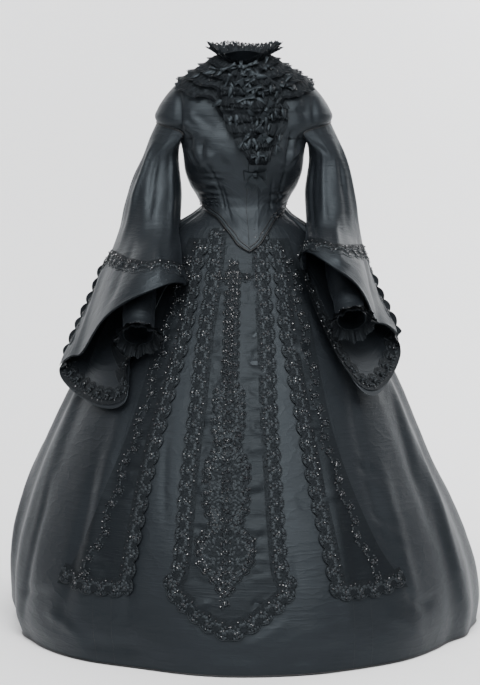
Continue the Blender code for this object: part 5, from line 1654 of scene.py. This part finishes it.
def ribbon_bows():
    """Bows on the lower edges of the tiers, and a larger one with long tails at the cascade's end."""
    down_way = np.array([0, 0, -1.0])
    for number, (tier, across, tilt, length, lift) in enumerate(zip(*BOWS.values(), strict=True), 1):
        seat = jabot(np.array(across), np.array((tier - 0.2) / JABOT_TIERS))
        away = level_away(seat)
        level_way = np.cross(away, [0, 0, 1.0])
        tilt = math.radians(tilt)
        along = math.cos(tilt) * level_way + math.sin(tilt) * np.array([0, 0, 1.0])
        part = bow_part(seat + lift * away, along, away, length, 0.022, 0.014, 0.026, down_way)
        made = piece_of(f"satin_bow_{number}", part, SATIN, stands_for=[f"ribbon_bow_{number}"])
        2.2 * length + 0.085
    place = np.array(BODICE_LINE + JABOT_LEAN[-1]), np.array(END_BOW_LEVEL)
    seat = bodice(*place)
    away = (BODICE_SURFACE.at(*place, 0.01) - seat) / 0.01
    along = np.cross(away, [0, 0, 1.0])
    part = bow_part(seat + 0.0012 * away, along, away, 0.060, 0.026, 0.016, 0.045, down_way)
    made = piece_of("satin_bow_end", part, SATIN, stands_for=["ribbon_bow_end"])


def closing():
    """The edge of the left front over the right, down the middle of the bodice."""
    level = np.linspace(-0.094, 0.075, 60)
    line = BODICE_SURFACE.at(BODICE_LINE, level, 0.0004)
    piece_of("cord_closing", tube_part(line, 0.0006, 5), CORD)


def stage_paint(name, colour):
    """A pale matt paper with the faintest unevenness."""
    paint = Paint(name, Specular_IOR_Level=0.1, Roughness=0.9)
    paint.colours(paint.noise(1.3, 2.0), colour, tuple(0.985 * c for c in colour))
    return paint.material


def studio():
    """The pale floor that curves up into a backdrop, the soft lights and the camera."""
    floor = HEM - 0.004
    depth = np.concatenate([np.linspace(-9, 1.6, 24), 1.6 + 1.2 * np.sin(np.linspace(0, math.pi / 2, 16)[1:]),
                            np.full(8, 2.8)])
    rise = np.concatenate([np.zeros(24), 1.2 * (1 - np.cos(np.linspace(0, math.pi / 2, 16)[1:])),
                           1.2 + np.linspace(0.4, 5, 8)])
    across = np.linspace(-8, 8, 9)
    grid = np.stack(np.broadcast_arrays(across[None], depth[:, None], floor + rise[:, None]), -1)
    points, faces, _ = sheet_part(grid)
    data = bpy.data.meshes.new("backdrop")
    data.from_pydata(points.tolist(), [], faces.tolist())
    data.polygons.foreach_set("use_smooth", np.full(len(faces), True))
    data.materials.append(stage_paint("pale_paper", (0.93, 0.93, 0.935)))
    sweep = bpy.data.objects.new("backdrop", data)
    bpy.context.scene.collection.objects.link(sweep)

    world = bpy.data.worlds.new("studio")
    world.use_nodes = True
    world.node_tree.nodes["Background"].inputs["Color"].default_value = (0.86, 0.88, 0.92, 1)
    world.node_tree.nodes["Background"].inputs["Strength"].default_value = 0.42
    bpy.context.scene.world = world

    lights = table("x y z aim_x aim_y aim_z wide watts", [
        (-2.2, -4.2, 2.6, 0, 0, 0.3, 2.4, 108),
        (2.2, -4.2, 2.6, 0, 0, 0.4, 2.2, 140),
        (0.0, -2.8, 3.3, 0, -0.9, -0.6, 2.0, 200),
        (0.0, -0.8, 3.8, 0, 0, -0.2, 2.6, 30),
        (-3.4, 1.4, 0.6, 0, 0, -0.2, 1.4, 12),
        (3.4, 1.4, 0.6, 0, 0, -0.2, 1.4, 12),
        (0.0, -4.6, 1.6, 0, 0, 0.3, 1.6, 36),
        (-2.2, 1.5, 1.8, -1.6, 2.8, 0.2, 1.6, 34),
        (2.2, 1.5, 1.8, 1.6, 2.8, 0.2, 1.6, 90),
    ])
    for number, (x, y, z, aim_x, aim_y, aim_z, wide, watts) in enumerate(zip(*lights.values(), strict=True)):
        lamp = bpy.data.lights.new(f"soft_{number}", "AREA")
        lamp.shape, lamp.size, lamp.energy = "SQUARE", wide, watts
        made = bpy.data.objects.new(f"soft_{number}", lamp)
        made.location = (x, y, z)
        look = np.array([aim_x - x, aim_y - y, aim_z - z])
        flat = math.hypot(look[0], look[1])
        made.rotation_euler = (math.atan2(flat, -look[2]), 0, math.atan2(-look[0], look[1]))
        bpy.context.scene.collection.objects.link(made)

    camera = bpy.data.cameras.new("camera")
    camera.lens, camera.sensor_width = 104.5, 36
    camera.clip_end = 50
    made = bpy.data.objects.new("camera", camera)
    made.location = (0.0633, -5.0, 0.2057)
    made.rotation_euler = (math.radians(90 - 6.315), 0, math.radians(0.829))
    bpy.context.scene.collection.objects.link(made)
    bpy.context.scene.camera = made


studio()
skirt_gores()
waistband()
bodice_pieces()
sleeve_pieces()
inner_sleeves()
skirt_tabs()
neck_frill()
collar_and_cascade()
ribbon_bows()
closing()
